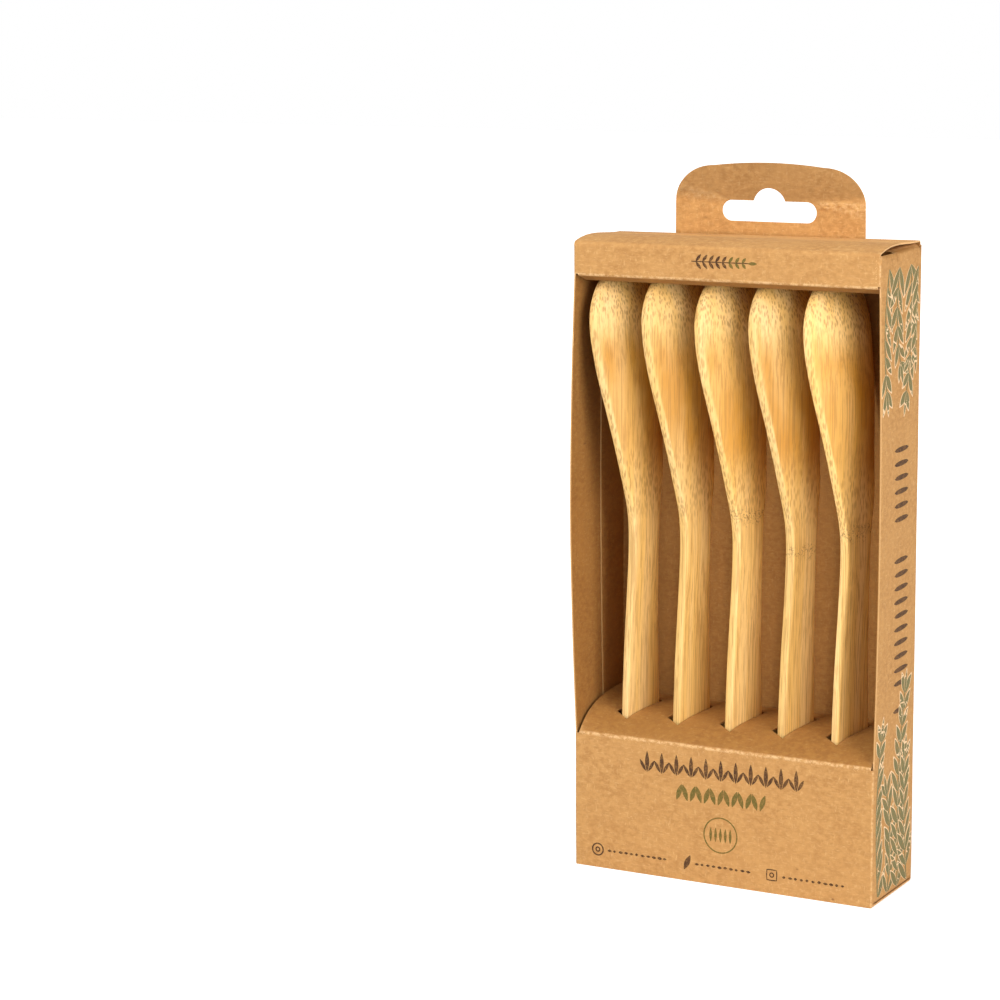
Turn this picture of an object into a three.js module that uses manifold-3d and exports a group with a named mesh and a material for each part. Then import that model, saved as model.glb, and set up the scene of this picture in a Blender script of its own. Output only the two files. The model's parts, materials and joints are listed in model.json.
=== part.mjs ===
// A hanging display carton of brown card with five bamboo spoons standing in it.
// One die-cut blank is creased, wrapped round and glued along one side. Its front is cut open
// between a low panel and a narrow band, its back runs up into a hang tab, and a tuck lid closes
// each end. A shelf folded in from the low panel has five slots that hold the spoons upright.
// Millimetres, +Z up. The origin is on the floor at the middle of the carton, and its front
// faces -Y.

import * as THREE from 'three';
import { mergeVertices } from 'three/addons/utils/BufferGeometryUtils.js';
import Module from 'manifold-3d';

const wasm = await Module();
wasm.setup();

// Carton. Its outside sizes come from what it holds and these
const card = 0.5;
const rowMargin = 6.25; // from each side of the carton to the row of spoons
const bowlRoom = 0.5; // before and behind the bowls
const headroom = 9.2; // from the tips of the spoons to the top
const bendRadius = 0.65; // middle of the card, at an ordinary crease
const gap = 0.3; // between parts that move, or that only lie against each other
const foldLap = 1.5; // a fold runs on this far into the wall that it grows from
const beyond = 4; // how far a cut runs past the card

// Open front
const sillHeight = 46;
const bandHeight = 11;
const leftBow = 1.9; // how far the free edge of the left side stands out
const rightBow = 1;
const edgeSetback = 0.7; // from the front plane to the free edge of each side
const returnFlapLength = 6;
const returnFlapFall = 20; // degrees below level

// Glued seam
const glueFlapWidth = 15.4;
const glueFlapInset = 5; // from the ends of the carton
const glueFlapTaper = 3;
const glueThickness = 0.06;

// Hang tab and its hole
const tabWidth = 67.3;
const tabHeight = 24.7;
const tabCrown = 1.2;
const tabCornerWidth = 14;
const tabCornerHeight = 12.3;
const tabShift = 0.6; // to the right of the middle of the carton
const holeWidth = 33.5;
const holeHeight = 6.8;
const holeAboveBox = 5.4;
const humpWidth = 11.8;
const humpRise = 4.2; // above the top of the slot

// Lids
const lidShort = 0.3; // each end of a lid is this much inside the carton's side
const lidArch = 1.4; // upward bulge of the top lid
const lidBackLift = 1.1; // its back crease stands this much high
const lidTwist = 0.4; // and its right end higher by this, its left end lower
const tuckLength = 12;
const tuckShort = 2.2; // each end of a tuck flap, from the carton's side
const tuckCorner = 7;

// Dust flaps
const topDustLength = 29;
const topDustStart = 14; // from the front of the carton
const topDustBend = 2.6;
const bottomDustLength = 34;
const bottomDustStart = 2;
const bottomDustBend = 0.8;
const dustBackClear = 1.9; // from the outside of the back
const dustTaper = 3; // its front edge runs in by this much
const dustBackTaper = 1;
const dustCorner = 3;

// Shelf
const shelfRise = 7.4;
const shelfCurve = 9; // the rise falls off by 1/e in this length
const shelfSideGap = 0.6;
const shelfFlapLength = 14;
const shelfCurl = 3; // its left end turns up by this
const shelfCurlWidth = 11;

// Spoons
const spoonCount = 5;
const spoonPitch = 18.9;
const spoonRowShift = 1.9; // to the right of the middle of the carton
const spoonRowBack = 0.3; // behind the middle of the carton
const spoonTurn = 76; // degrees from the front plane
const spoonLean = 0.6; // degrees towards the front
const spoonLength = 200;
const handleHalf = 9; // half widths
const neckHalf = 6.15;
const bowlHalf = 16.5;
const handleEnd = 9; // length of the round end of the handle
const tipRound = 19; // length of the round end of the bowl
const spoonEdge = 0.8; // rounding of the long edges
const bowlDepth = 8.6;
const bowlDeepest = 24; // from the tip
const bowlLength = 76; // of the hollow
const bowlRunOut = 1.5; // how gently the hollow runs out towards the neck

// Slots in the shelf, each a slanted four-sided hole round its handle
const slotWidth = 6.4;
const slotSkew = 2.5;
const slotFrontSlack = 1.2;
const slotRearSlack = 0.65;
const slotSideSlack = 0.4;

// The first number of a row is the distance from the end of the handle, or from the tip. The
// second is how far the width has gone from the neck's to the handle's or the bowl's. Then come
// the lift towards the hollow side and the thickness.
const handleRows = [
  [0, 1, 2.2, 3.0],
  [30, 1, 2.0, 3.2],
  [56, 0.75, 1.7, 3.2],
  [72, 0.5, 1.5, 3.3],
  [88, 0.23, 0.9, 3.4],
  [105, 0, 0.2, 3.6],
];
const bowlRows = [
  [86, 0.02, 0, 3.6],
  [79, 0.1, 0.1, 3.5],
  [71, 0.3, 0.6, 3.3],
  [62, 0.43, 2.0, 3.1],
  [47, 0.7, 4.3, 2.8],
  [35, 0.9, 6.4, 2.7],
  [26, 0.98, 7.9, 2.7],
  [19, 1, 8.5, 2.8],
  [10, 1, 8.8, 3.0],
  [0, 1, 8.8, 3.2],
];

const boxWidth = spoonCount * spoonPitch + 2 * rowMargin;
const boxDepth = 2 * (bowlHalf + bowlRoom + card);
const bottomInside = card + gap; // back and sides end above the bottom lid
const boxHeight = bottomInside + spoonLength + headroom;
const halfWidth = boxWidth / 2;
const frontFace = -boxDepth / 2;
const backFace = boxDepth / 2;
const frontCard = frontFace + card / 2; // middle of the front card
const backCard = backFace - card / 2;
const sideCard = halfWidth - card / 2;
const windowTop = boxHeight - bandHeight;
const hingeTop = boxHeight - card / 2;
const bodyTop = hingeTop - card / 2 - gap; // front and sides end below the lid
const swing = boxDepth - card - card / 2 - gap - card / 2; // reach of a lid's middle line
const bendSteps = 4;
const spoonStations = [
  ...handleRows.map(([z, share, lift, thickness]) => [
    z, neckHalf + share * (handleHalf - neckHalf), lift, thickness,
  ]),
  ...bowlRows.map(([fromTip, share, lift, thickness]) => [
    spoonLength - fromTip, neckHalf + share * (bowlHalf - neckHalf), lift, thickness,
  ]),
];

const cardboard = new THREE.MeshStandardMaterial({ color: 0xb98d5d, roughness: 0.9, metalness: 0 });
const bamboo = new THREE.MeshStandardMaterial({ color: 0xddb877, roughness: 0.6, metalness: 0 });

// Geometry to solid and back

function solidOf(geometry) {
  const bare = geometry.index ? geometry.toNonIndexed() : geometry.clone();
  bare.deleteAttribute('normal');
  bare.deleteAttribute('uv');
  const merged = mergeVertices(bare, 1e-5);
  return new wasm.Manifold(new wasm.Mesh({
    numProp: 3,
    vertProperties: new Float32Array(merged.attributes.position.array),
    triVerts: new Uint32Array(merged.index.array),
  }));
}

function meshOf(name, solid, material) {
  const { numProp, vertProperties, triVerts } = solid.getMesh();
  const positions = new Float32Array((vertProperties.length / numProp) * 3);
  for (let i = 0; i < positions.length / 3; i++) {
    for (let axis = 0; axis < 3; axis++) {
      positions[i * 3 + axis] = vertProperties[i * numProp + axis];
    }
  }
  const geometry = new THREE.BufferGeometry();
  geometry.setAttribute('position', new THREE.BufferAttribute(positions, 3));
  geometry.setIndex(new THREE.BufferAttribute(new Uint32Array(triVerts), 1));
  geometry.computeVertexNormals();
  const mesh = new THREE.Mesh(geometry, material);
  mesh.name = name;
  return mesh;
}

function joined(solids) {
  return solids.reduce((whole, piece) => whole.add(piece));
}

function block(lowX, highX, lowY, highY, lowZ, highZ) {
  const box = new THREE.BoxGeometry(highX - lowX, highY - lowY, highZ - lowZ);
  box.translate((lowX + highX) / 2, (lowY + highY) / 2, (lowZ + highZ) / 2);
  return solidOf(box);
}

// A plan outline raised along Z, a side outline (y, z) drawn out along X, and a front outline
// (x, z) drawn out along Y. The last two can be lifted by an amount that depends on x and y.

function raised(shape, low, high) {
  const geometry = new THREE.ExtrudeGeometry(shape, { depth: high - low, bevelEnabled: false });
  geometry.translate(0, 0, low);
  return solidOf(geometry);
}

function liftedSolid(geometry, lift) {
  const position = geometry.attributes.position;
  for (let i = 0; i < position.count; i++) {
    position.setZ(i, position.getZ(i) + lift(position.getX(i), position.getY(i)));
  }
  return solidOf(geometry);
}

function drawnAcross(shape, left, right, lift = () => 0, steps = 1) {
  const geometry = new THREE.ExtrudeGeometry(shape, {
    depth: right - left,
    steps,
    bevelEnabled: false,
  });
  geometry.applyMatrix4(new THREE.Matrix4().makeBasis(
    new THREE.Vector3(0, 1, 0),
    new THREE.Vector3(0, 0, 1),
    new THREE.Vector3(1, 0, 0),
  ));
  geometry.translate(left, 0, 0);
  return liftedSolid(geometry, lift);
}

function drawnBack(shape, front, back, lift = () => 0) {
  const geometry = new THREE.ExtrudeGeometry(shape, {
    depth: back - front,
    bevelEnabled: false,
    curveSegments: 10,
  });
  geometry.applyMatrix4(new THREE.Matrix4().makeBasis(
    new THREE.Vector3(1, 0, 0),
    new THREE.Vector3(0, 0, 1),
    new THREE.Vector3(0, -1, 0),
  ));
  geometry.translate(0, back, 0);
  return liftedSolid(geometry, lift);
}

// Folded card

function bentPath(corners, radius = bendRadius) {
  const points = corners.map(([x, y]) => new THREE.Vector2(x, y));
  const path = new THREE.Path();
  path.moveTo(points[0].x, points[0].y);
  for (let i = 1; i < points.length - 1; i++) {
    const toward = points[i].clone().sub(points[i - 1]).normalize();
    const away = points[i + 1].clone().sub(points[i]).normalize();
    const turn = Math.atan2(toward.cross(away), toward.dot(away));
    const start = points[i].clone().addScaledVector(toward, -radius * Math.tan(Math.abs(turn) / 2));
    const inward = new THREE.Vector2(-toward.y, toward.x).multiplyScalar(radius * Math.sign(turn));
    const centre = start.clone().add(inward);
    const from = Math.atan2(start.y - centre.y, start.x - centre.x);
    path.lineTo(start.x, start.y);
    path.absarc(centre.x, centre.y, radius, from, from + turn, turn < 0);
  }
  const last = points[points.length - 1];
  path.lineTo(last.x, last.y);
  return path;
}

function cardStrip(points) {
  const line = points.filter((point, i) => i === 0 || point.distanceTo(points[i - 1]) > 1e-4);
  const leftSide = [];
  const rightSide = [];
  line.forEach((point, i) => {
    const arriving = point.clone().sub(line[Math.max(i - 1, 0)]).normalize();
    const leaving = line[Math.min(i + 1, line.length - 1)].clone().sub(point).normalize();
    const along = arriving.clone().add(leaving).normalize();
    const widening = along.dot(i > 0 ? arriving : leaving);
    const out = new THREE.Vector2(-along.y, along.x).multiplyScalar(card / 2 / widening);
    leftSide.push(point.clone().add(out));
    rightSide.unshift(point.clone().sub(out));
  });
  return new THREE.Shape([...leftSide, ...rightSide]);
}

function foldedCard(corners, radius = bendRadius) {
  return cardStrip(bentPath(corners, radius).getPoints(bendSteps));
}

// Carton body: the wrapped walls

function wallFrom(outline) {
  const levels = [0, sillHeight];
  const bowSteps = 12;
  for (let i = 1; i <= bowSteps; i++) {
    levels.push(sillHeight + ((windowTop - sillHeight) * i) / bowSteps);
  }
  levels.push(boxHeight);
  const steps = levels.length - 1;
  const geometry = new THREE.ExtrudeGeometry(outline, {
    depth: steps,
    steps,
    bevelEnabled: false,
  });
  const position = geometry.attributes.position;
  for (let i = 0; i < position.count; i++) {
    const z = levels[Math.round(position.getZ(i))];
    const share = (z - sillHeight) / (windowTop - sillHeight);
    const swell = share > 0 && share < 1 ? Math.sin(Math.PI * share) : 0;
    const fromBack = (backFace - position.getY(i)) / boxDepth;
    const x = position.getX(i);
    const onSide = Math.abs(x) > halfWidth - 3 * card - bendRadius;
    const out = (x < 0 ? -leftBow : rightBow) * swell * fromBack;
    position.setXYZ(i, onSide ? x + out : x, position.getY(i), z);
  }
  return solidOf(geometry);
}

function walls() {
  const flapCard = -sideCard + card + glueThickness;
  const flapFront = backFace - glueFlapWidth;
  const wrap = wallFrom(foldedCard([
    [flapCard, flapFront],
    [flapCard, backCard],
    [sideCard, backCard],
    [sideCard, frontCard],
    [-sideCard, frontCard],
    [-sideCard, backFace - card],
  ]));
  const margin = 1;
  const glueFront = flapFront + margin;
  const glueBack = backFace - card - 2 * bendRadius;
  const glueBite = card * 0.4; // the two faces and the glue are one piece
  const inGlue = -halfWidth + card - glueBite;
  const outGlue = inGlue + glueThickness + 2 * glueBite;
  const glue = wallFrom(new THREE.Shape([
    new THREE.Vector2(inGlue, glueFront),
    new THREE.Vector2(outGlue, glueFront),
    new THREE.Vector2(outGlue, glueBack),
    new THREE.Vector2(inGlue, glueBack),
  ]));
  const flapEnd = (end, inward) => {
    const trim = new THREE.Shape();
    trim.moveTo(flapFront - margin, end);
    trim.lineTo(flapFront - margin, end + inward * (glueFlapInset + glueFlapTaper));
    trim.lineTo(glueBack, end + inward * glueFlapInset);
    trim.lineTo(glueBack, end);
    trim.closePath();
    return drawnAcross(trim, -halfWidth + card + glueThickness / 2, -halfWidth + 3 * card);
  };
  const glueEnds = [-margin, boxHeight - glueFlapInset - glueFlapTaper - margin].map((low) => block(
    -halfWidth, -halfWidth + 2 * card, glueFront - margin, glueBack + margin,
    low, low + glueFlapInset + glueFlapTaper + 2 * margin,
  ));
  return joined([
    wrap.subtract(flapEnd(-margin, 1)).subtract(flapEnd(boxHeight + margin, -1)),
    glue.subtract(joined(glueEnds)),
  ]);
}

// Carton body: what is cut from the walls

function windowCut() {
  return block(
    -halfWidth - beyond, halfWidth + beyond,
    frontFace - beyond, frontFace + edgeSetback,
    sillHeight - card, windowTop + card,
  );
}

function endCuts() {
  const lid = block(
    -halfWidth - beyond, halfWidth + beyond,
    frontFace - beyond, backFace - card,
    bodyTop, boxHeight + beyond,
  );
  const bottomLid = block(
    -halfWidth - beyond, halfWidth + beyond,
    frontFace + card, backFace + beyond,
    -beyond, bottomInside,
  );
  const sideCuts = [-1, 1].flatMap((side) => {
    const inner = side * (halfWidth - card - gap / 2);
    const outer = side * (halfWidth + beyond);
    const low = Math.min(inner, outer);
    const high = Math.max(inner, outer);
    return [
      block(low, high, frontFace + topDustStart - gap, backFace - dustBackClear + gap,
        bodyTop - topDustBend - card, boxHeight + beyond),
      block(low, high, frontFace + bottomDustStart - gap, backFace - dustBackClear + gap,
        -beyond, bottomInside + bottomDustBend + card),
    ];
  });
  return joined([lid, bottomLid, ...sideCuts]);
}

// Carton body: folds of the open front

function returnFlap() {
  const fall = THREE.MathUtils.degToRad(returnFlapFall);
  const profile = foldedCard([
    [frontCard, windowTop + card + foldLap],
    [frontCard, windowTop + card / 2],
    [
      frontCard + returnFlapLength * Math.cos(fall),
      windowTop + card / 2 - returnFlapLength * Math.sin(fall),
    ],
  ]);
  const reach = halfWidth - card - shelfSideGap;
  return drawnAcross(profile, -reach + card, reach);
}

function shelfHeight(y) {
  return sillHeight - card / 2 + shelfRise * (1 - Math.exp(-(y - frontCard) / shelfCurve));
}

function shelf(slots) {
  const backEdge = backFace - card - gap - card / 2;
  const curveSteps = 12;
  const curveStart = 0.8; // past the crease
  const crowding = 1.4; // the steps are closer where the rise is steep
  const line = bentPath([
    [frontCard, sillHeight - card - foldLap],
    [frontCard, shelfHeight(frontCard)],
    [frontCard + curveStart, shelfHeight(frontCard + curveStart)],
  ]).getPoints(bendSteps);
  const lastCurve = backEdge - 2 * bendRadius;
  for (let i = 1; i <= curveSteps; i++) {
    const share = (i / curveSteps) ** crowding;
    const y = frontCard + curveStart + (lastCurve - frontCard - curveStart) * share;
    line.push(new THREE.Vector2(y, shelfHeight(y)));
  }
  const rear = bentPath([
    [lastCurve, shelfHeight(lastCurve)],
    [backEdge, shelfHeight(backEdge)],
    [backEdge, shelfHeight(backEdge) - shelfFlapLength],
  ]).getPoints(bendSteps);
  line.push(...rear.slice(1));
  const side = halfWidth - card - shelfSideGap;
  const curlFrom = -side + card + shelfCurlWidth;
  const curlSteps = 5;
  const curl = (x, y) => {
    const rise = shelfHeight(Math.max(y, frontCard)) - shelfHeight(frontCard);
    return (shelfCurl * ((curlFrom - x) / shelfCurlWidth) ** 2 * rise) / shelfRise;
  };
  const curled = drawnAcross(cardStrip(line), -side + card, curlFrom, curl, curlSteps);
  const flat = drawnAcross(cardStrip(line), curlFrom, side);
  return slots.reduce((whole, slot) => whole.subtract(slot), curled.add(flat));
}

// Carton body: dust flaps and hang tab

function dustFlapOutline(side, front, length) {
  const back = backFace - dustBackClear;
  const root = halfWidth;
  const end = halfWidth - length;
  const endFront = front + dustTaper;
  const endBack = back - dustBackTaper;
  const outline = new THREE.Shape();
  outline.moveTo(side * root, front);
  outline.lineTo(side * (root - dustCorner), front);
  outline.lineTo(side * (end + dustCorner), endFront);
  outline.quadraticCurveTo(side * end, endFront, side * end, endFront + dustCorner);
  outline.lineTo(side * end, endBack - dustCorner);
  outline.quadraticCurveTo(side * end, endBack, side * (end + dustCorner), endBack);
  outline.lineTo(side * (root - dustCorner), back);
  outline.lineTo(side * root, back);
  outline.closePath();
  return outline;
}

function dustFlap(side, bend, wallEnd, level, front, length, backLift) {
  const profile = foldedCard([
    [side * sideCard, wallEnd],
    [side * sideCard, level],
    [side * (sideCard - length), level],
  ], bend);
  const lift = (x, y) => (backLift * (y - frontCard)) / swing;
  const low = Math.min(wallEnd, level) - card;
  const high = Math.max(wallEnd, level) + card + backLift;
  return drawnBack(profile, frontFace, backFace, lift)
    .intersect(raised(dustFlapOutline(side, front, length), low, high));
}

function dustFlaps(side) {
  const backLift = lidBackLift + side * lidTwist;
  const top = dustFlap(
    side, topDustBend, bodyTop - topDustBend - card - foldLap - backLift, bodyTop - card / 2,
    frontFace + topDustStart, topDustLength, backLift,
  );
  const bottom = dustFlap(
    side, bottomDustBend, bottomInside + bottomDustBend + card + foldLap, bottomInside + card / 2,
    frontFace + bottomDustStart, bottomDustLength, 0,
  );
  return top.add(bottom);
}

function hangTab() {
  const half = tabWidth / 2;
  const top = boxHeight + tabHeight - tabCrown;
  const shoulder = top - tabCornerHeight;
  const root = boxHeight - foldLap;
  const outline = new THREE.Shape();
  outline.moveTo(tabShift + half, root);
  outline.lineTo(tabShift + half, shoulder);
  outline.absellipse(
    tabShift + half - tabCornerWidth, shoulder, tabCornerWidth, tabCornerHeight,
    0, Math.PI / 2, false, 0,
  );
  outline.quadraticCurveTo(tabShift, top + 2 * tabCrown, tabShift - half + tabCornerWidth, top);
  outline.absellipse(
    tabShift - half + tabCornerWidth, shoulder, tabCornerWidth, tabCornerHeight,
    Math.PI / 2, Math.PI, false, 0,
  );
  outline.lineTo(tabShift - half, root);
  outline.closePath();
  outline.holes.push(hangHole());
  return drawnBack(outline, backFace - card, backFace);
}

function hangHole() {
  const round = holeHeight / 2;
  const middle = boxHeight + holeAboveBox + round;
  const humpRadius = humpWidth / 2;
  const humpCentre = middle + round + humpRise - humpRadius;
  const humpFoot = Math.acos((middle + round - humpCentre) / humpRadius);
  const hole = new THREE.Path();
  const endX = holeWidth / 2 - round;
  hole.absarc(tabShift + endX, middle, round, -Math.PI / 2, Math.PI / 2, false);
  hole.absarc(
    tabShift, humpCentre, humpRadius, Math.PI / 2 - humpFoot, Math.PI / 2 + humpFoot, false,
  );
  hole.absarc(tabShift - endX, middle, round, Math.PI / 2, (Math.PI * 3) / 2, false);
  hole.closePath();
  return hole;
}

function buildCarton(slots) {
  const body = joined([
    walls().subtract(windowCut()).subtract(endCuts()),
    returnFlap(),
    shelf(slots),
    hangTab(),
    dustFlaps(-1),
    dustFlaps(1),
  ]);
  return meshOf('carton', body, cardboard);
}

// Lids. Each is drawn closed as the top lid, hinged at the front.

function lidSolid(arch, backLift, twist) {
  const archSteps = 8;
  const archPeak = 4 / 27; // the greatest value of share * (1 - share) ** 2
  const line = [];
  for (let i = 0; i < archSteps; i++) {
    const share = i / archSteps;
    const lift = backLift * share + (arch * share * (1 - share) ** 2) / archPeak;
    line.push(new THREE.Vector2(frontCard + swing * share, hingeTop + lift));
  }
  const tipDrop = tuckLength - backLift;
  const crease = Math.sqrt(swing ** 2 - backLift ** 2);
  const tip = Math.sqrt(swing ** 2 - tipDrop ** 2);
  const last = line.pop();
  line.push(...bentPath([
    [last.x, last.y],
    [frontCard + crease, hingeTop + backLift],
    [frontCard + tip, hingeTop - tipDrop],
  ]).getPoints(bendSteps));
  const lift = (x, y) => (twist * x * (y - frontCard)) / (halfWidth * swing);
  return drawnAcross(cardStrip(line), -halfWidth, halfWidth, lift)
    .intersect(drawnBack(lidOutline(backLift + arch), frontFace - beyond, backFace));
}

function lidOutline(height) {
  const panel = halfWidth - lidShort;
  const tuck = halfWidth - tuckShort;
  const tuckTop = bodyTop + gap;
  const end = hingeTop - tuckLength - card;
  const over = hingeTop + height + beyond;
  const outline = new THREE.Shape();
  outline.moveTo(panel, over);
  outline.lineTo(-panel, over);
  outline.lineTo(-panel, tuckTop);
  outline.lineTo(-tuck, tuckTop);
  outline.lineTo(-tuck, end + tuckCorner);
  outline.quadraticCurveTo(-tuck, end, -tuck + tuckCorner, end);
  outline.lineTo(tuck - tuckCorner, end);
  outline.quadraticCurveTo(tuck, end, tuck, end + tuckCorner);
  outline.lineTo(tuck, tuckTop);
  outline.lineTo(panel, tuckTop);
  outline.closePath();
  return outline;
}

function buildTopLid() {
  return meshOf('top_lid', lidSolid(lidArch, lidBackLift, lidTwist), cardboard);
}

function buildBottomLid() {
  const lid = meshOf('bottom_lid', lidSolid(0, 0, 0), cardboard);
  lid.geometry.rotateX(Math.PI);
  lid.geometry.translate(0, 0, boxHeight);
  return lid;
}

// Spoons. Drawn standing on the handle's end, with the width along X and the hollow facing +Y.

function stationAt(z) {
  const last = spoonStations.length - 1;
  let i = 0;
  while (i < last - 1 && spoonStations[i + 1][0] < z) {
    i++;
  }
  const [low, high] = [spoonStations[i], spoonStations[i + 1]];
  const before = spoonStations[Math.max(i - 1, 0)];
  const after = spoonStations[Math.min(i + 2, last)];
  const span = high[0] - low[0];
  const t = (z - low[0]) / span;
  return [1, 2, 3].map((column) => {
    const slopeIn = (high[column] - before[column]) / (high[0] - before[0]);
    const slopeOut = (after[column] - low[column]) / (after[0] - low[0]);
    return low[column] * (2 * t ** 3 - 3 * t ** 2 + 1)
      + slopeIn * span * (t ** 3 - 2 * t ** 2 + t)
      + high[column] * (3 * t ** 2 - 2 * t ** 3)
      + slopeOut * span * (t ** 3 - t ** 2);
  });
}

function roundEnd(distance, length) {
  return distance >= length ? 1 : Math.sqrt(Math.max(1 - (1 - distance / length) ** 2, 0));
}

function spoonOutline(half, thickness) {
  const edge = Math.min(spoonEdge, half * 0.8); // leaves a flat face where the end is narrow
  const flat = half - edge;
  const level = thickness / 2 - edge;
  const cornerSteps = 2;
  const faceSteps = 7;
  const outline = [];
  [[1, -1], [1, 1], [-1, 1], [-1, -1]].forEach(([sideX, sideY], quarter) => {
    for (let i = 0; i <= cornerSteps; i++) {
      const angle = (Math.PI / 2) * (quarter - 1 + i / cornerSteps);
      outline.push([
        sideX * flat + edge * Math.cos(angle),
        sideY * level + edge * Math.sin(angle),
      ]);
    }
    for (let i = 1; i < faceSteps && sideX === sideY; i++) {
      outline.push([sideX * flat * (1 - (2 * i) / faceSteps), (sideY * thickness) / 2]);
    }
  });
  return outline;
}

function spoonSection(z) {
  const [fullHalf, lift, thickness] = stationAt(z);
  const fromTip = spoonLength - z;
  const half = fullHalf * roundEnd(z, handleEnd) * roundEnd(fromTip, tipRound);
  const towardTip = fromTip < bowlDeepest;
  const reach = towardTip ? bowlDeepest : bowlLength - bowlDeepest;
  const away = Math.min(Math.abs(fromTip - bowlDeepest) / reach, 1);
  const hollow = bowlDepth * (1 - away ** 2) ** (towardTip ? 1 : bowlRunOut);
  return spoonOutline(half, thickness).map(([x, y]) => {
    const across = Math.min(Math.abs(x) / half, 1);
    return new THREE.Vector3(x, y + lift - hollow * (1 - across ** 2), z);
  });
}

// Sections stand close where the ends are round, at each row between, and halfway between rows
// that lie far apart in the bowl.
function spoonHeights() {
  const endAngle = 6; // the first section of a round end, in degrees
  const roundSteps = (length, steps) => Array.from({ length: steps + 1 }, (_, i) => {
    const angle = THREE.MathUtils.degToRad(endAngle + ((90 - endAngle) * i) / steps);
    return length * (1 - Math.cos(angle));
  });
  const heel = roundSteps(handleEnd, 3);
  const tip = roundSteps(tipRound, 6).reverse().map((fromTip) => spoonLength - fromTip);
  const between = spoonStations
    .map(([z]) => z)
    .filter((z) => z > handleEnd && z < tip[0]);
  const far = bowlLength / 7;
  const halfway = between
    .slice(1)
    .map((z, i) => [(z + between[i]) / 2, z - between[i]])
    .filter(([z, span]) => z > spoonLength - bowlLength && span > far)
    .map(([z]) => z);
  return [...heel, ...[...between, ...halfway].sort((a, b) => a - b), ...tip];
}

function spoonGeometry() {
  const sections = spoonHeights().map(spoonSection);
  const around = sections[0].length;
  const corners = sections.flat();
  const faces = [];
  for (let row = 0; row < sections.length - 1; row++) {
    for (let i = 0; i < around; i++) {
      const next = (i + 1) % around;
      const [a, b] = [row * around + i, row * around + next];
      const [c, d] = [a + around, b + around];
      faces.push(a, b, c, b, d, c);
    }
  }
  const top = (sections.length - 1) * around;
  for (let i = 1; i < around - 1; i++) {
    faces.push(0, i + 1, i);
    faces.push(top, top + i, top + i + 1);
  }
  const geometry = new THREE.BufferGeometry().setFromPoints(corners);
  geometry.setIndex(faces);
  return geometry;
}

function spoonPlace(index) {
  const fromMiddle = index - (spoonCount - 1) / 2;
  const x = spoonRowShift + fromMiddle * spoonPitch;
  const overFlap = Math.abs(x) > halfWidth - bottomDustLength - handleEnd / 2;
  const z = bottomInside + (overFlap ? card + gap : 0);
  return new THREE.Matrix4().compose(
    new THREE.Vector3(x, spoonRowBack, z),
    new THREE.Quaternion().setFromEuler(new THREE.Euler(
      THREE.MathUtils.degToRad(spoonLean), 0, THREE.MathUtils.degToRad(spoonTurn),
    )),
    new THREE.Vector3(1, 1, 1),
  );
}

function buildSpoon(index) {
  const mesh = new THREE.Mesh(spoonGeometry(), bamboo);
  mesh.geometry.computeVertexNormals();
  mesh.applyMatrix4(spoonPlace(index));
  mesh.name = `spoon_${index + 1}`;
  return mesh;
}

function slotFor(index) {
  const z = sillHeight + shelfRise / 2;
  const [half, lift, thickness] = stationAt(z);
  const near = lift - thickness / 2 - slotSideSlack;
  const corners = [
    [-half - slotFrontSlack, near],
    [half + slotRearSlack, near],
    [half + slotRearSlack + slotSkew, near + slotWidth],
    [-half - slotFrontSlack + slotSkew, near + slotWidth],
  ].map(([x, y]) => new THREE.Vector3(x, y, z).applyMatrix4(spoonPlace(index)));
  const outline = new THREE.Shape(corners.map((corner) => new THREE.Vector2(corner.x, corner.y)));
  return raised(outline, sillHeight - beyond, sillHeight + shelfRise + beyond);
}

const spoonIndexes = Array.from({ length: spoonCount }, (_, index) => index);
const group = new THREE.Group();
group.add(buildCarton(spoonIndexes.map(slotFor)));
group.add(buildTopLid());
group.add(buildBottomLid());
spoonIndexes.forEach((index) => group.add(buildSpoon(index)));

export default group;
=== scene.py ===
import json
import math
import random

import bmesh
import bpy
import numpy as np
from mathutils import Matrix, Vector, noise
from mathutils.bvhtree import BVHTree


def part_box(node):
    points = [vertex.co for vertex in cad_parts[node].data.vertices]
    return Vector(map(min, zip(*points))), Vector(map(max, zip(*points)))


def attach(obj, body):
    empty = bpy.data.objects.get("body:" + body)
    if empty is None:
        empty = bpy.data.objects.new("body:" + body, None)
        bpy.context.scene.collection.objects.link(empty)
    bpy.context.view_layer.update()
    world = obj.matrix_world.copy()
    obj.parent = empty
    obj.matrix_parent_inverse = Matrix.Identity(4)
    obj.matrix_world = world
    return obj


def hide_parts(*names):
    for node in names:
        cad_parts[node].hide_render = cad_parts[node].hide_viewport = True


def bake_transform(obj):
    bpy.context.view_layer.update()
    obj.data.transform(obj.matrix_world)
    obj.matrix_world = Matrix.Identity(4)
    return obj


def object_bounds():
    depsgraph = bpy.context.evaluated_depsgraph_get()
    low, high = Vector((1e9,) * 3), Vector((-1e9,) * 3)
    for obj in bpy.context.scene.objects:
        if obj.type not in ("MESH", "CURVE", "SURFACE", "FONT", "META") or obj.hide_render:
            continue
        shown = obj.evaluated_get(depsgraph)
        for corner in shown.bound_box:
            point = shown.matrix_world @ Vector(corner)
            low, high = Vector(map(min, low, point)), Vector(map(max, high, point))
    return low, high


# A hanging carton of brown card with five bamboo spoons in it. Metres, +Z up, the open front faces -Y.

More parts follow.
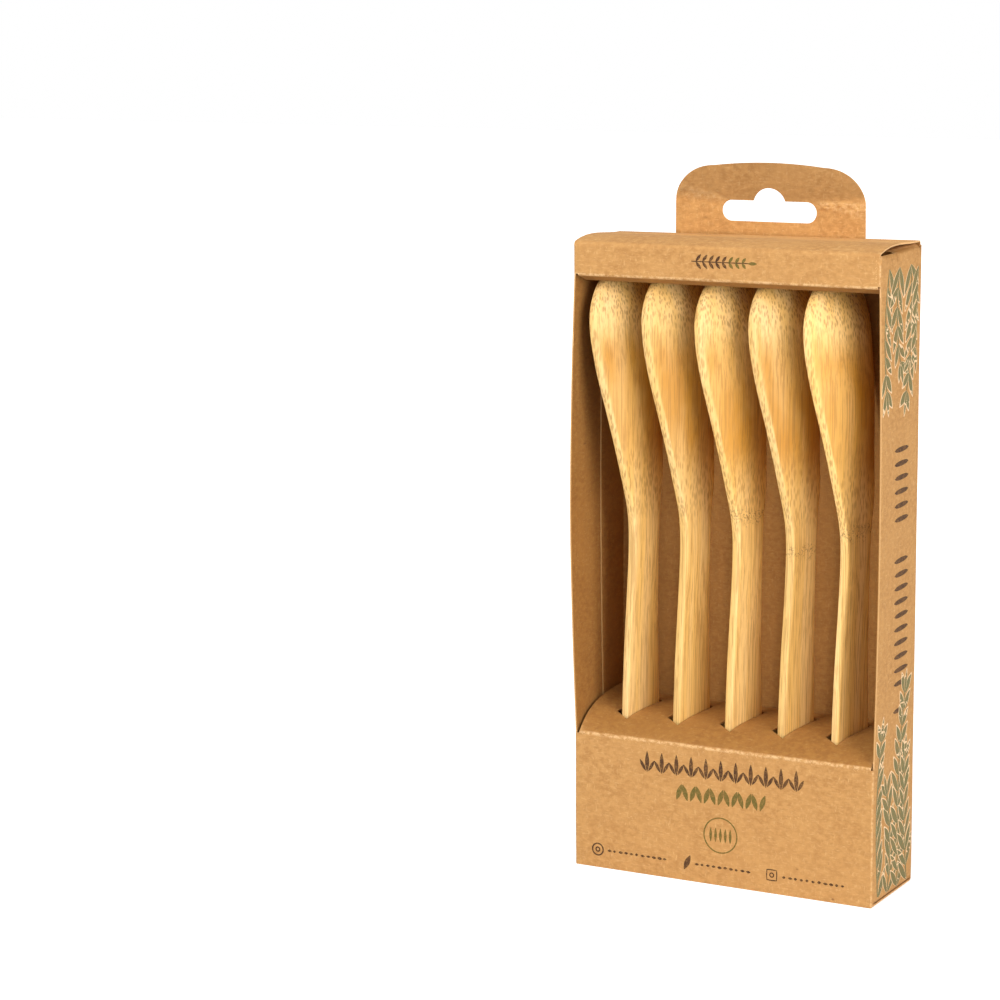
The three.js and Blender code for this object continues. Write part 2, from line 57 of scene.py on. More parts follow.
mm = 0.001
tiny = 0.001 * mm  # corners closer than this are one
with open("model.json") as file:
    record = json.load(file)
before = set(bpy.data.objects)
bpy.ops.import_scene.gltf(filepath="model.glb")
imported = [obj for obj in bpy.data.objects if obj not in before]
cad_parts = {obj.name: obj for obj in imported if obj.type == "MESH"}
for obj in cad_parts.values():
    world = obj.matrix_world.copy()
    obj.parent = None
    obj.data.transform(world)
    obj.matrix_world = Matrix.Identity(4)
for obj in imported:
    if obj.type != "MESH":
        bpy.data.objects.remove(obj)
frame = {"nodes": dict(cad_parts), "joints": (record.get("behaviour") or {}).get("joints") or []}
cadLow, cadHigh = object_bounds()
nodes = frame["nodes"]
scene = bpy.context.scene
noise.seed_set(4)  # without a seed, the card would warp another way each run

cardSheet = {
    "thickness": 0.5 * mm,
    "lidShort": 0.3 * mm,  # a lid's end is this far inside the side
    "sillHeight": 46 * mm,
    "bandHeight": 11 * mm,
    "sharpAngle": 40,  # degrees; edges that turn by less are shaded smooth
    "cutDepth": 1.2 * mm,  # a face with a deeper wall behind it is a cut edge
}

cartonLow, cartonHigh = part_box("carton")
lidLow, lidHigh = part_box("top_lid")
hinges = {joint["name"]: Vector(joint["pos_m"]) for joint in frame["joints"]}
topHinge = hinges["top_lid_hinge"]
bottomHinge = hinges["bottom_lid_hinge"]
front = cartonLow.y
back = cartonHigh.y
side = lidHigh.x + cardSheet["lidShort"]
boxHeight = topHinge.z + cardSheet["thickness"] / 2
windowTop = boxHeight - cardSheet["bandHeight"]
tabFrom = boxHeight + 1 * mm


# Shared helpers

def meshObject(name, mesh):
    thing = bpy.data.objects.new(name, mesh)
    scene.collection.objects.link(thing)
    return thing


def meshFrom(name, corners, faces):
    mesh = bpy.data.meshes.new(name)
    mesh.from_pydata([tuple(corner) for corner in corners], [], faces)
    mesh.update()
    return meshObject(name, mesh)


def nodeCopy(node):
    # a merged copy of a frame part, as a bmesh
    shape = bmesh.new()
    shape.from_mesh(nodes[node].data)
    bmesh.ops.remove_doubles(shape, verts=shape.verts, dist=2 * tiny)
    bmesh.ops.dissolve_degenerate(shape, edges=shape.edges, dist=tiny)
    return shape


def finishMesh(shape, name):
    mesh = bpy.data.meshes.new(name)
    shape.to_mesh(mesh)
    shape.free()
    mesh.polygons.foreach_set("use_smooth", [True] * len(mesh.polygons))
    mesh.set_sharp_from_angle(angle=math.radians(cardSheet["sharpAngle"]))
    return meshObject(name, mesh)


def addAttribute(thing, name, values, domain="POINT"):
    attribute = thing.data.attributes.new(name, "FLOAT", domain)
    attribute.data.foreach_set("value", np.asarray(values, np.float32))


def smoothStep(low, high, value):
    share = min(max((value - low) / (high - low), 0), 1)
    return share * share * (3 - 2 * share)


def hump(value, foot, full, falling, end):
    # up from foot to full, and down again from falling to end
    return smoothStep(foot, full, value) * smoothStep(end, falling, value)


def evaluatedMesh(thing):
    return bpy.data.meshes.new_from_object(thing.evaluated_get(bpy.context.evaluated_depsgraph_get()))


def millimetres(*values):
    return Vector([value * mm for value in values])


# Node graphs for materials, written as short sums

class Graph:
    def __init__(self, tree):
        self.tree = tree
        self.links = tree.links

    def add(self, kind, values=None, **settings):
        node = self.tree.nodes.new(kind)
        for key, value in settings.items():
            setattr(node, key, value)
        for socket, value in (values or {}).items():
            self.put(node.inputs[socket], value)
        return node

    def put(self, socket, value):
        if isinstance(value, bpy.types.NodeSocket):
            self.links.new(value, socket)
        elif isinstance(value, bpy.types.Node):
            self.links.new(value.outputs[0], socket)
        else:
            socket.default_value = value

    def math(self, operation, first, *others):
        # several values make a chain of nodes
        for other in others or (0.0,):
            first = self.add("ShaderNodeMath", {0: first, 1: other}, operation=operation).outputs[0]
        return first

    def times(self, *values):
        return self.math("MULTIPLY", *values)

    def apart(self, first, second):
        return self.math("ABSOLUTE", self.math("SUBTRACT", first, second))

    def vectors(self, operation, first, second):
        return self.add("ShaderNodeVectorMath", {0: first, 1: second}, operation=operation).outputs[0]

    def ramp(self, value, low, high, toLow=0.0, toHigh=1.0):
        node = self.add("ShaderNodeMapRange", {
            "Value": value, "From Min": low, "From Max": high, "To Min": toLow, "To Max": toHigh,
        })
        node.interpolation_type = "SMOOTHSTEP"
        node.clamp = True
        return node.outputs[0]

    def mix(self, factor, first, second):
        node = self.add("ShaderNodeMix", {"Factor": factor, 6: first, 7: second}, data_type="RGBA")
        return node.outputs[2]

    def scale(self, colour, factor):
        return self.add("ShaderNodeVectorMath", {0: colour, "Scale": factor}, operation="SCALE").outputs[0]

    def noise(self, vector, scale, detail, roughness):
        node = self.add("ShaderNodeTexNoise", {
            "Vector": vector, "Scale": scale, "Detail": detail, "Roughness": roughness,
        })
        return node.outputs["Fac"]

    def cells(self, vector, scale):
        return self.add("ShaderNodeTexVoronoi", {"Vector": vector, "Scale": scale}).outputs["Distance"]

    def stretched(self, vector, scale):
        return self.add("ShaderNodeMapping", {"Vector": vector, "Scale": scale}).outputs[0]

    def attribute(self, name):
        return self.add("ShaderNodeAttribute", attribute_name=name).outputs["Fac"]

    def place(self):
        return self.add("ShaderNodeTexCoord").outputs["Object"]


def newMaterial(name):
    material = bpy.data.materials.new(name)
    material.use_nodes = True
    material.node_tree.nodes.clear()
    graph = Graph(material.node_tree)
    shader = graph.add("ShaderNodeBsdfPrincipled")
    output = graph.add("ShaderNodeOutputMaterial", {"Surface": shader})
    return material, graph, shader, output


def finishShader(graph, shader, colour, roughness, height, spec):
    graph.put(shader.inputs["Base Color"], colour)
    graph.put(shader.inputs["Roughness"], roughness)
    shader.inputs["Specular IOR Level"].default_value = spec["specular"]
    graph.put(shader.inputs["Normal"], graph.add("ShaderNodeBump", {
        "Height": height, "Strength": spec["bumpStrength"], "Distance": spec["bump"],
    }))


def srgb(red, green, blue):
    # a colour as seen on screen, 0 to 255, to the renderer's linear light
    def linear(value):
        share = value / 255
        return share / 12.92 if share <= 0.04045 else ((share + 0.055) / 1.055) ** 2.4
    return (linear(red), linear(green), linear(blue), 1)


print("stage: frame loaded", [round(v, 4) for v in (*cadLow, *cadHigh)])


# Camera, at the angle and distance of the picture

camera = {
    "place": (397.88, -881.55, 298.27),  # millimetres
    "turn": 29.018,  # degrees
    "dip": 10.097,
    "roll": -0.455,
    "lens": 107.946,
    "sensor": 36,
    "clip": (0.05, 20),
}


def makeCamera(spec):
    turn, dip, roll = (math.radians(spec[key]) for key in ("turn", "dip", "roll"))
    ahead = Vector((-math.sin(turn) * math.cos(dip), math.cos(turn) * math.cos(dip), -math.sin(dip)))
    level = Vector((math.cos(turn), math.sin(turn), 0))
    upright = level.cross(ahead)
    right = level * math.cos(roll) + upright * math.sin(roll)
    up = upright * math.cos(roll) - level * math.sin(roll)
    data = bpy.data.cameras.new("camera")
    data.lens = spec["lens"]
    data.sensor_width = spec["sensor"]
    data.clip_start, data.clip_end = spec["clip"]
    eye = bpy.data.objects.new("camera", data)
    scene.collection.objects.link(eye)
    eye.matrix_world = Matrix((right, up, -ahead)).transposed().to_4x4()
    eye.location = millimetres(*spec["place"])
    scene.camera = eye


makeCamera(camera)
print("stage: camera")


# Kraft card: mottled brown fibre, lighter and rougher where it is cut, creased or worn

kraft = {
    "colour": srgb(193, 144, 85),
    "pale": srgb(220, 179, 120),
    "deep": srgb(160, 110, 56),
    "inside": (0.65, 0.56, 0.36),  # painted shade: the carton's inner faces are this much darker, standing in for the shade inside the box
    "speck": srgb(104, 66, 32),
    "cutEdge": srgb(222, 178, 124),
    "worn": srgb(246, 210, 158),
    "clouds": 60,  # how many to a metre
    "mottles": 480,
    "fibres": 1500,
    "steepFibres": 1300,
    "grains": 3200,
    "shives": 420,
    "specks": 260,
    "cracks": 700,
    "fibreTint": 0.5,  # how strongly each shows
    "shiveTint": 0.45,
    "speckTint": 0.4,
    "wornTint": 0.5,
    "cutTint": 0.7,
    "wrinkleWear": 0.6,
    "creaseReach": 0.8 * mm,  # how far the worn line of a crease spreads
    "roughness": 0.84,
    "roughnessSpread": 0.07,
    "specular": 0.35,
    "bump": 0.05 * mm,
    "bumpStrength": 0.5,
}


def kraftMaterial(spec):
    material, graph, shader, _ = newMaterial("kraftCard")
    place = graph.place()
    x, y, z = graph.add("ShaderNodeSeparateXYZ", {0: place}).outputs
    cloud = graph.noise(place, spec["clouds"], 2, 0.5)
    mottle = graph.noise(graph.stretched(place, (1, 1, 1.5)), spec["mottles"], 4, 0.62)
    fibre = graph.noise(graph.stretched(place, (0.35, 0.35, 1.3)), spec["fibres"], 3, 0.6)
    steep = graph.noise(graph.stretched(place, (1.2, 1.2, 0.4)), spec["steepFibres"], 2, 0.6)
    fine = graph.noise(place, spec["grains"], 2, 0.5)
    hairs = graph.math("MAXIMUM", graph.ramp(fibre, 0.52, 0.8), graph.ramp(steep, 0.56, 0.82))
    shives = graph.cells(graph.stretched(place, (0.6, 0.6, 1.6)), spec["shives"])
    shives = graph.times(graph.ramp(shives, 0.13, 0.05), graph.ramp(cloud, 0.42, 0.6))
    specks = graph.cells(graph.stretched(place, (1, 1, 0.7)), spec["specks"])
    specks = graph.times(graph.ramp(specks, 0.08, 0.03), graph.ramp(mottle, 0.45, 0.6))

    # creases: the upright corners, the sill, and the foot of the band
    reach = spec["creaseReach"]
    outAcross = graph.ramp(graph.math("ABSOLUTE", x), side - reach, side - 0.1 * mm)
    outDeep = graph.ramp(graph.math("ABSOLUTE", y), back - reach, back - 0.1 * mm)
    atFront = graph.ramp(y, front + 1.3 * mm, front + 0.4 * mm)

    def foldAt(height):
        return graph.times(graph.ramp(graph.apart(z, height), reach, 0.1 * mm), atFront)

    folds = graph.math("MAXIMUM", graph.times(outAcross, outDeep),
                       foldAt(cardSheet["sillHeight"] - 0.15 * mm), foldAt(windowTop + 0.3 * mm))
    cracks = graph.ramp(graph.noise(place, spec["cracks"], 4, 0.75), 0.4, 0.62)
    wear = graph.times(graph.attribute("wear"), cracks, spec["wrinkleWear"])
    worn = graph.math("MAXIMUM", graph.times(folds, cracks), wear)
    cut = graph.attribute("cutEdge")

    colour = graph.mix(graph.ramp(mottle, 0.32, 0.68), spec["deep"], spec["colour"])
    layers = (
        (graph.ramp(cloud, 0.3, 0.7, 0.35, 0.65), "colour"),
        (graph.times(hairs, spec["fibreTint"]), "pale"),
        (graph.times(shives, spec["shiveTint"]), "pale"),
        (graph.times(specks, spec["speckTint"]), "speck"),
        (graph.times(worn, spec["wornTint"]), "worn"),
        (graph.times(cut, spec["cutTint"]), "cutEdge"),
    )
    for amount, tint in layers:
        colour = graph.mix(amount, colour, spec[tint])
    # painted shade: the inner faces are multiplied darker, standing in for the shade inside the box
    inside = graph.vectors("MULTIPLY", colour, spec["inside"])
    colour = graph.mix(graph.attribute("inside"), colour, inside)
    colour = graph.mix(graph.attribute("stain"), colour, spec["speck"])
    # the tone attribute holds random patches, and painted light and shade on the tab and the lid's arch
    colour = graph.scale(colour, graph.attribute("toneAndPaintedLight"))
    spread = spec["roughnessSpread"]
    roughness = graph.ramp(mottle, 0.2, 0.8, spec["roughness"] - spread, spec["roughness"] + spread)
    height = graph.math("ADD", graph.times(hairs, 0.5), graph.times(fine, 0.5), graph.times(mottle, 0.6),
                        graph.times(worn, 1.2), graph.times(cut, fine, 2.5))
    finishShader(graph, shader, colour, roughness, height, spec)
    return material


kraftCard = kraftMaterial(kraft)


# Bamboo: bundles of fibre run up the spoon. They show as streaks where a face runs with them and as
# short dashes where it cuts across them.

bamboo = {
    "pale": srgb(246, 208, 142),
    "body": srgb(236, 190, 106),
    "golden": srgb(198, 134, 24),
    "bundle": srgb(162, 110, 48),
    "joint": srgb(120, 76, 34),
    "bundleSpacing": 0.62 * mm,
    "wander": 2 * mm,  # how far the grain strays sideways
    "lines": 2100,  # how many to a metre
    "bands": 260,
    "clouds": 90,
    "pits": 1500,
    "goldenTint": 0.9,
    "dashTint": (0.62, 0.05),  # on a face across the grain, and along it
    "streakTint": (0.15, 0.5),
    "jointTint": 0.75,
    "jointHeight": 3.2 * mm,
    "jointRipple": 14 * mm,
    "roughness": 0.46,
    "specular": 0.4,
    "bump": 0.05 * mm,
    "bumpStrength": 0.4,
}


def bambooMaterial(spec):
    material, graph, shader, _ = newMaterial("bamboo")
    place = graph.place()
    shift = graph.attribute("spoonShift")
    offset = graph.add("ShaderNodeCombineXYZ", {0: shift, 1: graph.times(shift, 1.7), 2: shift})
    moved = graph.vectors("ADD", place, offset)
    wander = graph.add("ShaderNodeTexNoise", {
        "Vector": graph.stretched(moved, (1, 1, 0.25)), "Scale": 55, "Detail": 2,
    })
    wander = graph.vectors("MULTIPLY", wander.outputs["Color"], (spec["wander"], spec["wander"], 0))
    grain = graph.vectors("ADD", moved, wander)
    bundles = graph.cells(graph.stretched(grain, (1, 1, 0.19)), 1 / spec["bundleSpacing"])
    dash = graph.ramp(bundles, 0.56, 0.24)
    lines = graph.noise(graph.stretched(grain, (1, 1, 0.012)), spec["lines"], 3, 0.65)
    streak = graph.ramp(lines, 0.47, 0.6)
    broad = graph.noise(graph.stretched(grain, (1, 1, 0.03)), spec["bands"], 3, 0.55)
    cloud = graph.noise(graph.stretched(moved, (1, 1, 0.4)), spec["clouds"], 3, 0.5)
    withGrain = graph.attribute("withGrain")
    narrow = graph.attribute("narrow")
    paleness = graph.math("ADD", graph.ramp(broad, 0.35, 0.7, 0.0, 0.65), graph.times(narrow, 0.2))
    golden = graph.times(graph.attribute("inBowl"), graph.ramp(cloud, 0.35, 0.65, 0.6, 1.0),
                         graph.ramp(narrow, 0.2, 0.8, 1.0, 0.1))

    # the node of the cane that a handle may hold: a wavy line of small dark pits
    z = graph.add("ShaderNodeSeparateXYZ", {0: place}).outputs[2]
    ripple = graph.math("SUBTRACT", graph.noise(moved, 240, 3, 0.6), 0.5)
    away = graph.math("SUBTRACT", z, graph.attribute("jointAt"))
    away = graph.math("ABSOLUTE", graph.math("ADD", away, graph.times(ripple, spec["jointRipple"])))
    pits = graph.ramp(graph.noise(moved, spec["pits"], 3, 0.7), 0.5, 0.62)
    onJoint = graph.times(graph.ramp(away, spec["jointHeight"], 0.2 * mm), pits)

    colour = graph.mix(graph.math("MINIMUM", paleness, 1.0), spec["body"], spec["pale"])
    layers = (
        (graph.times(golden, spec["goldenTint"]), "golden"),
        (graph.times(dash, graph.ramp(withGrain, 0, 1, *spec["dashTint"])), "bundle"),
        (graph.times(streak, graph.ramp(withGrain, 0, 1, *spec["streakTint"])), "bundle"),
        (graph.times(onJoint, spec["jointTint"]), "joint"),
    )
    for amount, tint in layers:
        colour = graph.mix(amount, colour, spec[tint])
    # tone: each spoon's own paleness, with painted light on the fifth spoon, which lies in the right wall's
    # shade
    colour = graph.scale(colour, graph.attribute("toneAndPaintedLight"))
    roughness = graph.ramp(lines, 0.3, 0.7, spec["roughness"] - 0.05, spec["roughness"] + 0.12)
    height = graph.math("SUBTRACT", graph.times(lines, 0.5), graph.times(dash, 0.6), onJoint)
    finishShader(graph, shader, colour, roughness, height, spec)
    return material


bambooWood = bambooMaterial(bamboo)


# Printing inks, thin enough that the card's fibres show through

inks = {
    "dark": srgb(68, 40, 13),
    "olive": srgb(98, 86, 30),
    "leafGreen": srgb(110, 107, 66),
    "outline": srgb(236, 202, 158),
}
inkFilm = {
    "gaps": 1800,  # how many to a metre
    "gapTint": 0.35,
    "clouds": 300,
    "cloudTint": 0.15,
    "roughness": (0.68, 0.85),
    "specular": 0.35,
    "bump": 0.03 * mm,
    "bumpStrength": 0.3,
}


def inkMaterial(name, ink, spec=inkFilm):
    material, graph, shader, _ = newMaterial(name)
    place = graph.place()
    gaps = graph.ramp(graph.noise(place, spec["gaps"], 3, 0.6), 0.46, 0.72)
    cloud = graph.noise(place, spec["clouds"], 2, 0.5)
    colour = graph.mix(graph.times(gaps, spec["gapTint"]), ink, kraft["colour"])
    colour = graph.mix(graph.ramp(cloud, 0.4, 0.7, 0.0, spec["cloudTint"]), colour, kraft["deep"])
    finishShader(graph, shader, colour, graph.ramp(gaps, 0, 1, *spec["roughness"]), gaps, spec)
    return material


inkMaterials = {name: inkMaterial(name + "Ink", ink) for name, ink in inks.items()}
print("stage: materials")


# Card pieces: the frame's own solids, cut finer, with the unevenness, wrinkles and nicks of real card

cardCells = {
    "coarse": 2.6 * mm,  # cells on the plain panels
    "fine": 0.5 * mm,  # and along the creases and the tab's wrinkles
    "wider": 1.2,  # how much coarser cells are across the carton
    "deeper": 1.6,  # and from front to back
    "sillRows": (-1.6 * mm, 0.6 * mm),  # fine rows, counted from the sill
    "bandRows": (-0.3 * mm, 1.3 * mm),  # and from the foot of the band
    "tabRows": (217 * mm, 229 * mm),
    "tabColumns": ((-34 * mm, -14 * mm), (15 * mm, 35 * mm)),
    "blemishCell": 0.35 * mm,
    "blemishRoom": 1.6 * mm,
    "rounds": 40,  # at most
}
unevenness = {
    "warp": 0.12 * mm,  # of the panels
    "warpLength": 38 * mm,
    "floorCalm": 12 * mm,  # panels are flat at the floor, and wander in full from here up
    "slotCalm": 0.7,  # and wander less by this at the slots
    "slotZone": (30 * mm, 44 * mm, 60 * mm, 75 * mm),
    "fray": 0.05 * mm,  # of the creases
    "frayLength": 1.6 * mm,
    "frayReach": 0.7 * mm,
}
tabWrinkles = {
    "seed": 7,
    "count": 6,
    "height": 0.34 * mm,
    "width": 0.42 * mm,
    "mostPush": 1.3,  # heights, where wrinkles meet
    "wobble": 0.8 * mm,
    "left": ((-15.6, 222.3), (-32.6, 225.2)),  # x and z at the hole's corner and at the tab's edge
    "right": ((17.4, 221.5), (34.2, 219.6)),
    "fan": 4.5,  # how far the wrinkles spread at the edge
    "rootScatter": (1.5, 0.3),
    "tipScatter": 0.4,
    "strength": (0.4, 1),
    "ends": (-0.05, 0.15, 1.1),  # where a wrinkle starts, is full and ends, in shares of its length
    "fade": 0.4,
    "waves": 7,
    "bendAt": 221 * mm,
    "lean": 4,  # degrees that the tab leans forward above the wrinkles
    "leanEase": 6 * mm,
}
# place, size, push in the middle, all in millimetres, and darkness of each
blemishes = {
    name: {"at": Vector(at), "size": size, "push": push, "stain": stain}
    for name, at, size, push, stain in (
        ("shelfNick", (-27.3, -10.1, 52.2), (1.5, 0.8, 1.6), (0, 0, -0.2), 0.75),
        ("shelfPit", (-38.6, -12.4, 50.6), (0.5, 0.6, 1.2), (0, 0, -0.1), 0.5),
        ("wallScratch", (-54.4, -8.3, 142), (1.6, 2.0, 0.45), (0.1, 0, 0), 0.6),
        ("wallDot", (-53.9, -16.0, 177.6), (1.2, 0.6, 0.8), (0, 0, 0), 0.7),
        ("bandNotch", (53.0, -17.4, 199.1), (0.7, 1.0, 0.8), (-0.3, 0.2, 0.5), 0.6),
        ("footNick", (40, -17.5, 0.9), (0.8, 0.8, 0.6), (0, 0.25, 0.2), 0.6),
        ("bottomSpeck", (27.5, -17.5, 9.4), (0.9, 0.6, 0.45), (0, 0.05, 0), 0.55),
        ("tabScratch", (-22.3, 17, 216.2), (1.3, 1.4, 0.4), (0, 0.15, 0), 0.4),
        ("sillEnd", (53.1, -17.2, 45.6), (0.9, 1.2, 1.0), (-0.15, 0.25, -0.2), 0.15),
        ("bandEnd", (53.2, -17.3, 207.6), (0.8, 0.9, 1.2), (-0.2, 0.25, 0), 0.1),
    )
}


def makeWrinkles(spec):
    draw = random.Random(spec["seed"])
    lines = []
    aside, aloft = spec["rootScatter"]
    drift = spec["tipScatter"]
    for end in ("left", "right"):
        root, tip = (Vector(point) for point in spec[end])
        for i in range(spec["count"]):
            spread = (i / (spec["count"] - 1) - 0.5) * spec["fan"]
            start = root + Vector((draw.uniform(-aside, aside), spread / 4 + draw.uniform(-aloft, aloft)))
            stop = tip + Vector((0, spread + draw.uniform(-drift, drift)))
            lines.append((start * mm, stop * mm, draw.uniform(*spec["strength"]), draw.uniform(0, 50)))
    return lines


wrinkles = makeWrinkles(tabWrinkles)


def wrinkleAt(point, spec=tabWrinkles):
    # the push out of the tab at a point, and how worn the card is there
    push, wear = 0.0, 0.0
    spot = Vector((point.x, point.z))
    begin, full, end = spec["ends"]
    for start, stop, strength, phase in wrinkles:
        along = stop - start
        share = (spot - start).dot(along) / along.length_squared
        if not begin < share < end:
            continue
        wobble = noise.noise(Vector((share * spec["waves"], phase, 0))) * spec["wobble"]
        across = Vector((-along.y, along.x)).normalized()
        away = abs((spot - start - along * share).dot(across) - wobble)
        ridge = math.exp(-((away / spec["width"]) ** 2)) * smoothStep(begin, full, share)
        push += strength * ridge * (1 - spec["fade"] * share)
        wear = max(wear, ridge * strength)
    return min(push, spec["mostPush"]) * spec["height"], wear


def creaseDistance(point):
    toSide = side - abs(point.x)
    corner = math.hypot(toSide, back - abs(point.y))
    toFront = point.y - front
    sill = math.hypot(toFront, point.z - cardSheet["sillHeight"])
    bandFoot = math.hypot(toFront, point.z - windowTop)
    return min(corner, sill, bandFoot)


def inBlemish(point, spec):
    away = point - spec["at"] * mm
    if away.length > max(spec["size"]) * mm:
        return 0.0
    share = math.sqrt(sum((away[i] / (spec["size"][i] * mm)) ** 2 for i in range(3)))
    return smoothStep(1, 0.2, share) if share < 1 else 0.0


def evenly(low, high, step):
    count = max(round((high - low) / step), 1)
    return [low + (high - low) * i / count for i in range(count + 1)]


def cutInRows(shape, spec=cardCells):
    # planes cut the panels into cells
    bmesh.ops.dissolve_limit(
        shape, angle_limit=math.radians(0.2), use_dissolve_boundaries=False,
        verts=shape.verts, edges=shape.edges,
    )
    coarse, fine = spec["coarse"], spec["fine"]

    def cut(way, places, above=None):
        for place in places:
            chosen = [*shape.verts, *shape.edges, *shape.faces]
            if above:
                tab = [face for face in shape.faces if face.calc_center_median().z > above]
                chosen = [*tab, *{edge for face in tab for edge in face.edges}]
            bmesh.ops.bisect_plane(shape, geom=chosen, dist=tiny, plane_co=way * place, plane_no=way)

    across, deep, up = Vector((1, 0, 0)), Vector((0, 1, 0)), Vector((0, 0, 1))
    cut(up, evenly(1 * mm, boxHeight + 2 * mm, coarse))
    for height, (low, high) in ((cardSheet["sillHeight"], spec["sillRows"]), (windowTop, spec["bandRows"])):
        cut(up, evenly(height + low, height + high, fine))
    cut(across, evenly(-side, side, coarse * spec["wider"])[1:-1])
    cut(across, [side - fine, side - 2 * fine, fine - side, 2 * fine - side])
    cut(deep, evenly(front, back, coarse * spec["deeper"])[1:-1])
    if max(vert.co.z for vert in shape.verts) > spec["tabRows"][0]:
        cut(up, evenly(*spec["tabRows"], fine), tabFrom)
        for columns in spec["tabColumns"]:
            cut(across, evenly(*columns, fine), tabFrom)


def nearBlemish(middles, lengths, room):
    near = np.zeros(len(middles), bool)
    for blemish in blemishes.values():
        away = np.linalg.norm(middles - np.array(blemish["at"]) * mm, axis=1)
        near |= away < room + lengths / 2
    return near


def cutFiner(shape, spec=cardCells):
    # near a blemish, edges are halved until none is longer than its cells
    bmesh.ops.triangulate(shape, faces=shape.faces)
    corners = np.array([vert.co[:] for vert in shape.verts])
    shape.verts.index_update()
    faces = np.array([[vert.index for vert in face.verts] for face in shape.faces])
    shape.free()
    for _ in range(spec["rounds"]):
        pairs = np.sort(np.concatenate((faces[:, (0, 1)], faces[:, (1, 2)], faces[:, (2, 0)])), axis=1)
        keys, whose = np.unique(pairs[:, 0] * len(corners) + pairs[:, 1], return_inverse=True)
        edges = np.stack(np.divmod(keys, len(corners)), 1)
        middles = corners[edges].mean(axis=1)
        lengths = np.linalg.norm(corners[edges[:, 0]] - corners[edges[:, 1]], axis=1)
        # only a face's longest edges are cut, so that thin faces grow no thinner
        whose = whose.reshape(3, -1).T
        ofFaces = lengths[whose]
        longest = np.zeros(len(edges), bool)
        longest[whose[ofFaces > 0.85 * ofFaces.max(axis=1, keepdims=True)]] = True
        near = nearBlemish(middles, lengths, spec["blemishRoom"])
        long = longest & (lengths > spec["blemishCell"]) & near
        if not long.any():
            break
        made = np.full(len(edges), -1)
        made[long] = len(corners) + np.arange(long.sum())
        corners = np.concatenate((corners, middles[long]))
        cuts = made[whose]
        count = (cuts >= 0).sum(axis=1)
        parts = [faces[count == 0]]
        for marks in (1, 2, 3):
            chosen, cut = faces[count == marks], cuts[count == marks]
            # turned so that a lone cut is the first, and a lone whole edge is the last
            first = np.argmax(cut >= 0, axis=1) if marks == 1 else (np.argmin(cut, axis=1) + 1) % 3
            order = (first[:, None] + np.arange(3)) % 3
            a, b, c = np.take_along_axis(chosen, order, 1).T
            ab, bc, ca = np.take_along_axis(cut, order, 1).T
            if marks == 1:
                parts += [np.stack((a, ab, c), 1), np.stack((ab, b, c), 1)]
            elif marks == 2:
                shorter = (np.linalg.norm(corners[a] - corners[bc], axis=1)
                           < np.linalg.norm(corners[ab] - corners[c], axis=1))
                parts.append(np.stack((ab, b, bc), 1))
                parts.append(np.stack((a, ab, np.where(shorter, bc, c)), 1))
                parts.append(np.stack((np.where(shorter, a, ab), bc, c), 1))
            else:
                trios = ((a, ab, ca), (ab, b, bc), (ca, bc, c), (ab, bc, ca))
                parts += [np.stack(trio, 1) for trio in trios]
        faces = np.concatenate(parts)
    mesh = bpy.data.meshes.new("finer")
    mesh.from_pydata(corners.tolist(), [], faces.tolist())
    finer = bmesh.new()
    finer.from_mesh(mesh)
    bpy.data.meshes.remove(mesh)
    return finer


def warpAt(point, spec=unevenness):
    # panels wander a little, less so near the floor and the slots
    atSlots = hump(point.z, *spec["slotZone"])
    calm = smoothStep(0, spec["floorCalm"], point.z) * (1 - spec["slotCalm"] * atSlots)
    drift = noise.noise_vector(point / spec["warpLength"])
    return Vector((drift.x, drift.y, 0)) * spec["warp"] * calm


def onTab(point):
    return point.z > boxHeight + 2 * mm and point.y > 0


def cardMove(point, spec=unevenness):
    # how far a point of the card is from its place in the plain solid
    move = warpAt(point)
    if onTab(point):
        above = max(point.z - tabWrinkles["bendAt"], 0)
        push, _ = wrinkleAt(point)
        lean = above * math.tan(math.radians(tabWrinkles["lean"]))
        move.y -= lean * smoothStep(0, tabWrinkles["leanEase"], above) + push
        return move
    close = math.exp(-((creaseDistance(point) / spec["frayReach"]) ** 2))
    if close > 0.02 and point.z > 0.4 * mm:
        ragged = noise.noise_vector(point / spec["frayLength"])
        move += Vector((ragged.x, ragged.y, ragged.z * 0.5)) * spec["fray"] * close
    for blemish in blemishes.values():
        share = inBlemish(point, blemish)
        if share:
            move += millimetres(*blemish["push"]) * share
    return move


cardTonesAndPaintedLight = {
    "tab": 1.16,  # painted light: the tab's foot, and the lid's arch, are this much lighter, as if better lit
    "tabTopPaintedShade": 0.34,  # painted shade: how much darker the leaning top of the tab is made, standing in for less light on it
    "slant": 0.09,  # the border between them rises by this to the sides
    "blend": (2 * mm, 1.5 * mm),
    "patches": 0.1,
    "patchSize": (2.4, 1.1),  # across and up, in millimetres
    "rear": 0.72,  # painted shade: faces towards the front are this much as dark as other inner faces
    "innerFaces": (0.3, 0.9),
}


# painted light and shade on the tab: its foot and the lid's arch lighter, its leaning top darker, with
# random patches of tone over it
def cardToneWithPaintedLight(point, spec=cardTonesAndPaintedLight):
    if point.z < tabFrom or point.y < 0:
        return 1.0
    bendAt = tabWrinkles["bendAt"] + spec["slant"] * abs(point.x)
    below, above = spec["blend"]
    wide, tall = spec["patchSize"]
    patchy = spec["patches"] * noise.noise(Vector((point.x / wide, point.y, point.z / tall)) / mm)
    return spec["tab"] - spec["tabTopPaintedShade"] * smoothStep(bendAt - below, bendAt + above, point.z) + patchy


def markCutEdges(thing):
    tree = BVHTree.FromObject(thing, bpy.context.evaluated_depsgraph_get())
    values = []
    for face in thing.data.polygons:
        start = face.center - face.normal * 0.01 * mm
        wall = tree.ray_cast(start, -face.normal, cardSheet["cutDepth"])[0]
        values.append(float(wall is None))
    addAttribute(thing, "cutEdge", values, "FACE")


